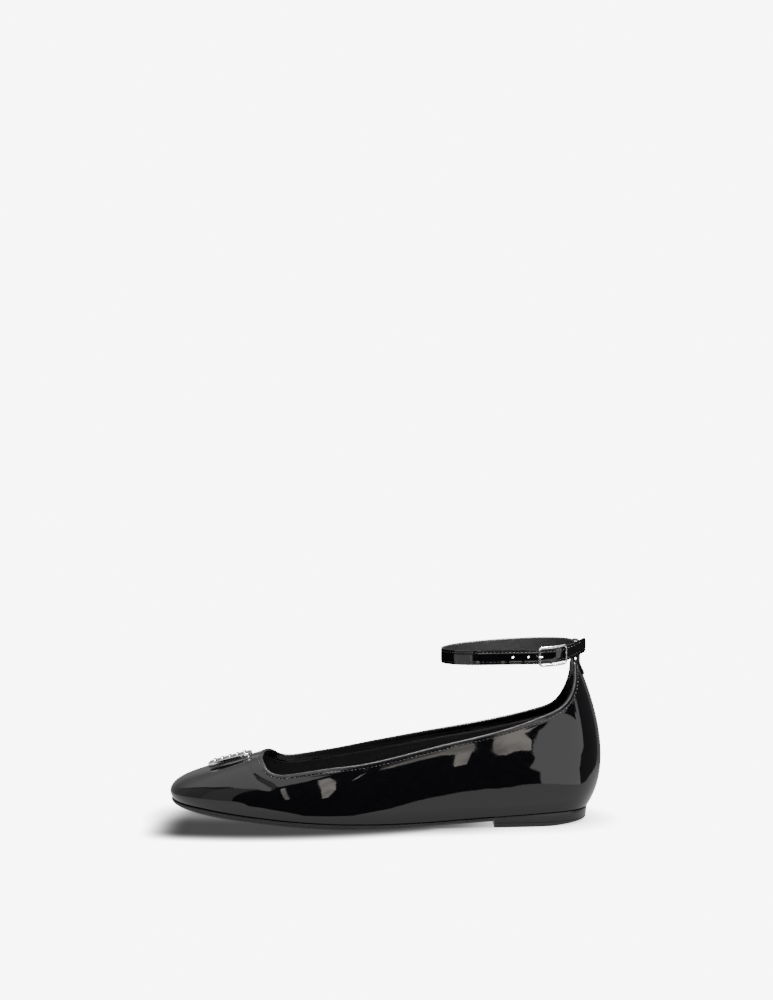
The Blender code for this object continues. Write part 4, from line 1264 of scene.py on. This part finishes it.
world = bpy.data.worlds.new("studio")
bpy.context.scene.world = world
world.use_nodes = True
s = Shade(world.node_tree)
dim = s.add("ShaderNodeBackground", {}, {"Strength": SKY_IN_GLOSS})
bright = s.add("ShaderNodeBackground", {}, {"Strength": FLOOR_TO_CAMERA})
for background in (dim, bright):
    background.socket.node.inputs["Color"].default_value = (1, 1, 1, 1)
whole = s.add("ShaderNodeMixShader", {}, {0: s.add("ShaderNodeLightPath"), 1: dim, 2: bright})
s.tree.links.new(whole.socket, s.tree.nodes["World Output"].inputs["Surface"])

# Cards
# Panels round the shoe that its gloss mirrors: a ceiling with a strip light and a rim light, a black wall
# and floor cloth on the camera's side, grey and dark panels round it, small pale ones, and three that
# only the strap is close to. The camera sees none of them.
BEIGE = (1.0, 0.95, 0.88)
PALE_LIGHT = 4.0
HEEL_PANEL_LIGHT = 1.75
DARK_RIGHT_LIGHT = 0.10
CLOTH_HEIGHT = 0.0006
PALE_DISTANCE = -0.12


def card(name, corners, strength, light=(1.0, 1.0, 1.0), soft_light=False, mottle=0.0, fall=None):
    """A flat panel of light or of black. Only gloss sees it, and with soft_light matt surfaces too.

    Mottle clouds its colour, and fall dims it from one y to another down to a share.
    """
    finish, shader, s = new_finish(name, Base_Color=(0, 0, 0, 1), Specular_IOR_Level=0.0)
    shader.inputs["Emission Strength"].default_value = strength
    shader.inputs["Emission Color"].default_value = (*light, 1)
    if mottle:
        clouded = [c * (1 - mottle) for c in light]
        feed(shader, Emission_Color=s.mix(s.noise(35, 3.0).step(0.35, 0.65), clouded, light))
    if fall:
        start, end, least = fall
        falling = s.parts(s.place())[1].step(start, end)
        feed(shader, Emission_Color=s.mix(falling, light, (least, least, least)))
    points = np.array(corners, float)
    panel = new_piece(name, points, [[tuple(range(len(points)))]], finish, closed=False)
    panel.visible_camera = panel.visible_shadow = panel.visible_transmission = False
    panel.visible_diffuse = soft_light


def standing(start, end, low, high):
    """The corners of an upright oblong between two places of the floor, from low to high."""
    return [(*start, low), (*end, low), (*end, high), (*start, high)]


def upright(corners, y):
    """Corners in x and z, stood up at one y."""
    return [(x, y, z) for x, z in corners]


def level(corners, z):
    """Corners in x and y, laid at one height."""
    return [(x, y, z) for x, y in corners]


CEILING = (
    (-0.92, 0.45), (-0.60, -0.145), (-0.51, -0.30), (-0.45, -1.0), (1.6, -1.0), (1.6, 1.6), (-1.6, 1.6),
)
card("ceiling", level(CEILING, 0.8), 1.6, soft_light=True, fall=(-0.3, 1.4, 0.26))
STRIP = ((-0.05, -0.06), (0.50, -0.06), (0.50, 0.07), (-0.05, 0.07))
card("strip_light", level(STRIP, 0.78), 25.0, soft_light=True)
card("rim_light", level(STRIP, 0.775), 170.0)
EDGE = ((-0.92, 0.45), (-0.60, -0.145), (-0.51, -0.30), (-0.56, -0.33), (-0.66, -0.17), (-0.98, 0.43))
card("ceiling_edge", level(EDGE, 0.79), 0.0)
card("left_side", standing((-0.55, -1.0), (-1.1, -0.6), 0, 1.4), 0.55)
card("left_back", standing((-1.1, -0.6), (-1.3, 0.6), 0, 1.4), 0.40)
WALL = (
    (-0.30, 0.0), (0.19, 0.0), (0.193, 0.037), (0.179, 0.062), (0.175, 0.088), (0.179, 0.128),
    (0.28, 0.187), (0.94, 0.26), (1.2, 0.28), (1.2, 0.6), (-0.02, 0.6), (-0.06, 0.34), (-0.30, 0.40),
)
card("black_wall", upright(WALL, -0.45), 0.0)
card("heel_panel", upright([(0.15, 0.0), (1.2, 0.0), (1.2, 0.35), (0.15, 0.30)], -0.455), HEEL_PANEL_LIGHT)
card("heel_panel_return", standing((1.2, -0.455), (1.2, -0.27), 0, 0.35), HEEL_PANEL_LIGHT)
CLOTH = (
    (-0.091, -0.074), (-0.068, -0.059), (-0.047, -0.049), (-0.016, -0.050), (0.008, -0.060),
    (0.037, -0.085), (0.060, -0.102), (0.096, -0.113), (0.115, -0.107), (0.127, -0.146),
    (0.141, -0.194), (0.155, -0.25), (0.19, -0.45), (-0.28, -0.45),
)
card("black_cloth", level(CLOTH, CLOTH_HEIGHT), 0.0)
FOOT = (
    (0.115, -0.107), (0.133, -0.082), (0.162, -0.035), (0.19, -0.053), (0.238, -0.084), (0.5, -0.18),
    (1.2, -0.27), (1.2, -0.455), (0.19, -0.455), (0.155, -0.25), (0.141, -0.194), (0.127, -0.146),
)
card("heel_panel_foot", level(FOOT, CLOTH_HEIGHT), HEEL_PANEL_LIGHT)
RIGHT = (
    (0.162, -0.035), (0.176, -0.018), (0.198, -0.004), (0.221, 0.031), (0.253, 0.084), (1.2, 1.0),
    (1.2, -0.27), (0.5, -0.18), (0.238, -0.084), (0.19, -0.053),
)
card("dark_right_floor", level(RIGHT, CLOTH_HEIGHT), DARK_RIGHT_LIGHT)
card("dark_right", standing((1.2, -0.27), (1.2, 1.0), 0, 0.6), DARK_RIGHT_LIGHT)
PALE = (
    [(-0.087, 0.079), (-0.083, 0.081), (-0.069, 0.027), (-0.073, 0.023), (-0.080, 0.052)],
    [
        (-0.053, 0.087), (-0.041, 0.084), (-0.030, 0.066), (-0.026, 0.040), (-0.030, 0.021),
        (-0.037, 0.018), (-0.042, 0.047),
    ],
    [(-0.014, 0.055), (-0.009, 0.059), (-0.004, 0.068), (-0.009, 0.064)],
    [
        (0.006, 0.066), (0.006, 0.069), (0.029, 0.075), (0.036, 0.076), (0.053, 0.078),
        (0.0565, 0.070), (0.0565, 0.060), (0.0555, 0.043), (0.050, 0.043), (0.0485, 0.052),
        (0.047, 0.064), (0.039, 0.0665), (0.029, 0.0665),
    ],
    [
        (0.069, 0.057), (0.067, 0.082), (0.073, 0.078), (0.090, 0.084), (0.110, 0.087), (0.102, 0.076),
        (0.091, 0.072), (0.100, 0.062), (0.101, 0.050), (0.087, 0.052), (0.079, 0.049), (0.074, 0.050),
    ],
)
for index, corners in enumerate(PALE):
    card(f"pale_{index + 1}", upright(corners, PALE_DISTANCE), PALE_LIGHT, BEIGE, mottle=0.5)
card("strap_top_light", standing((-0.02, -0.10), (0.16, -0.10), 0.112, 0.20), 6.0)
card("strap_front_black", standing((-0.02, -0.08), (0.22, -0.08), 0.079, 0.106), 0.0)
card("strap_left_black", standing((0.014, -0.016), (0.014, 0.06), 0.075, 0.115), 0.0)
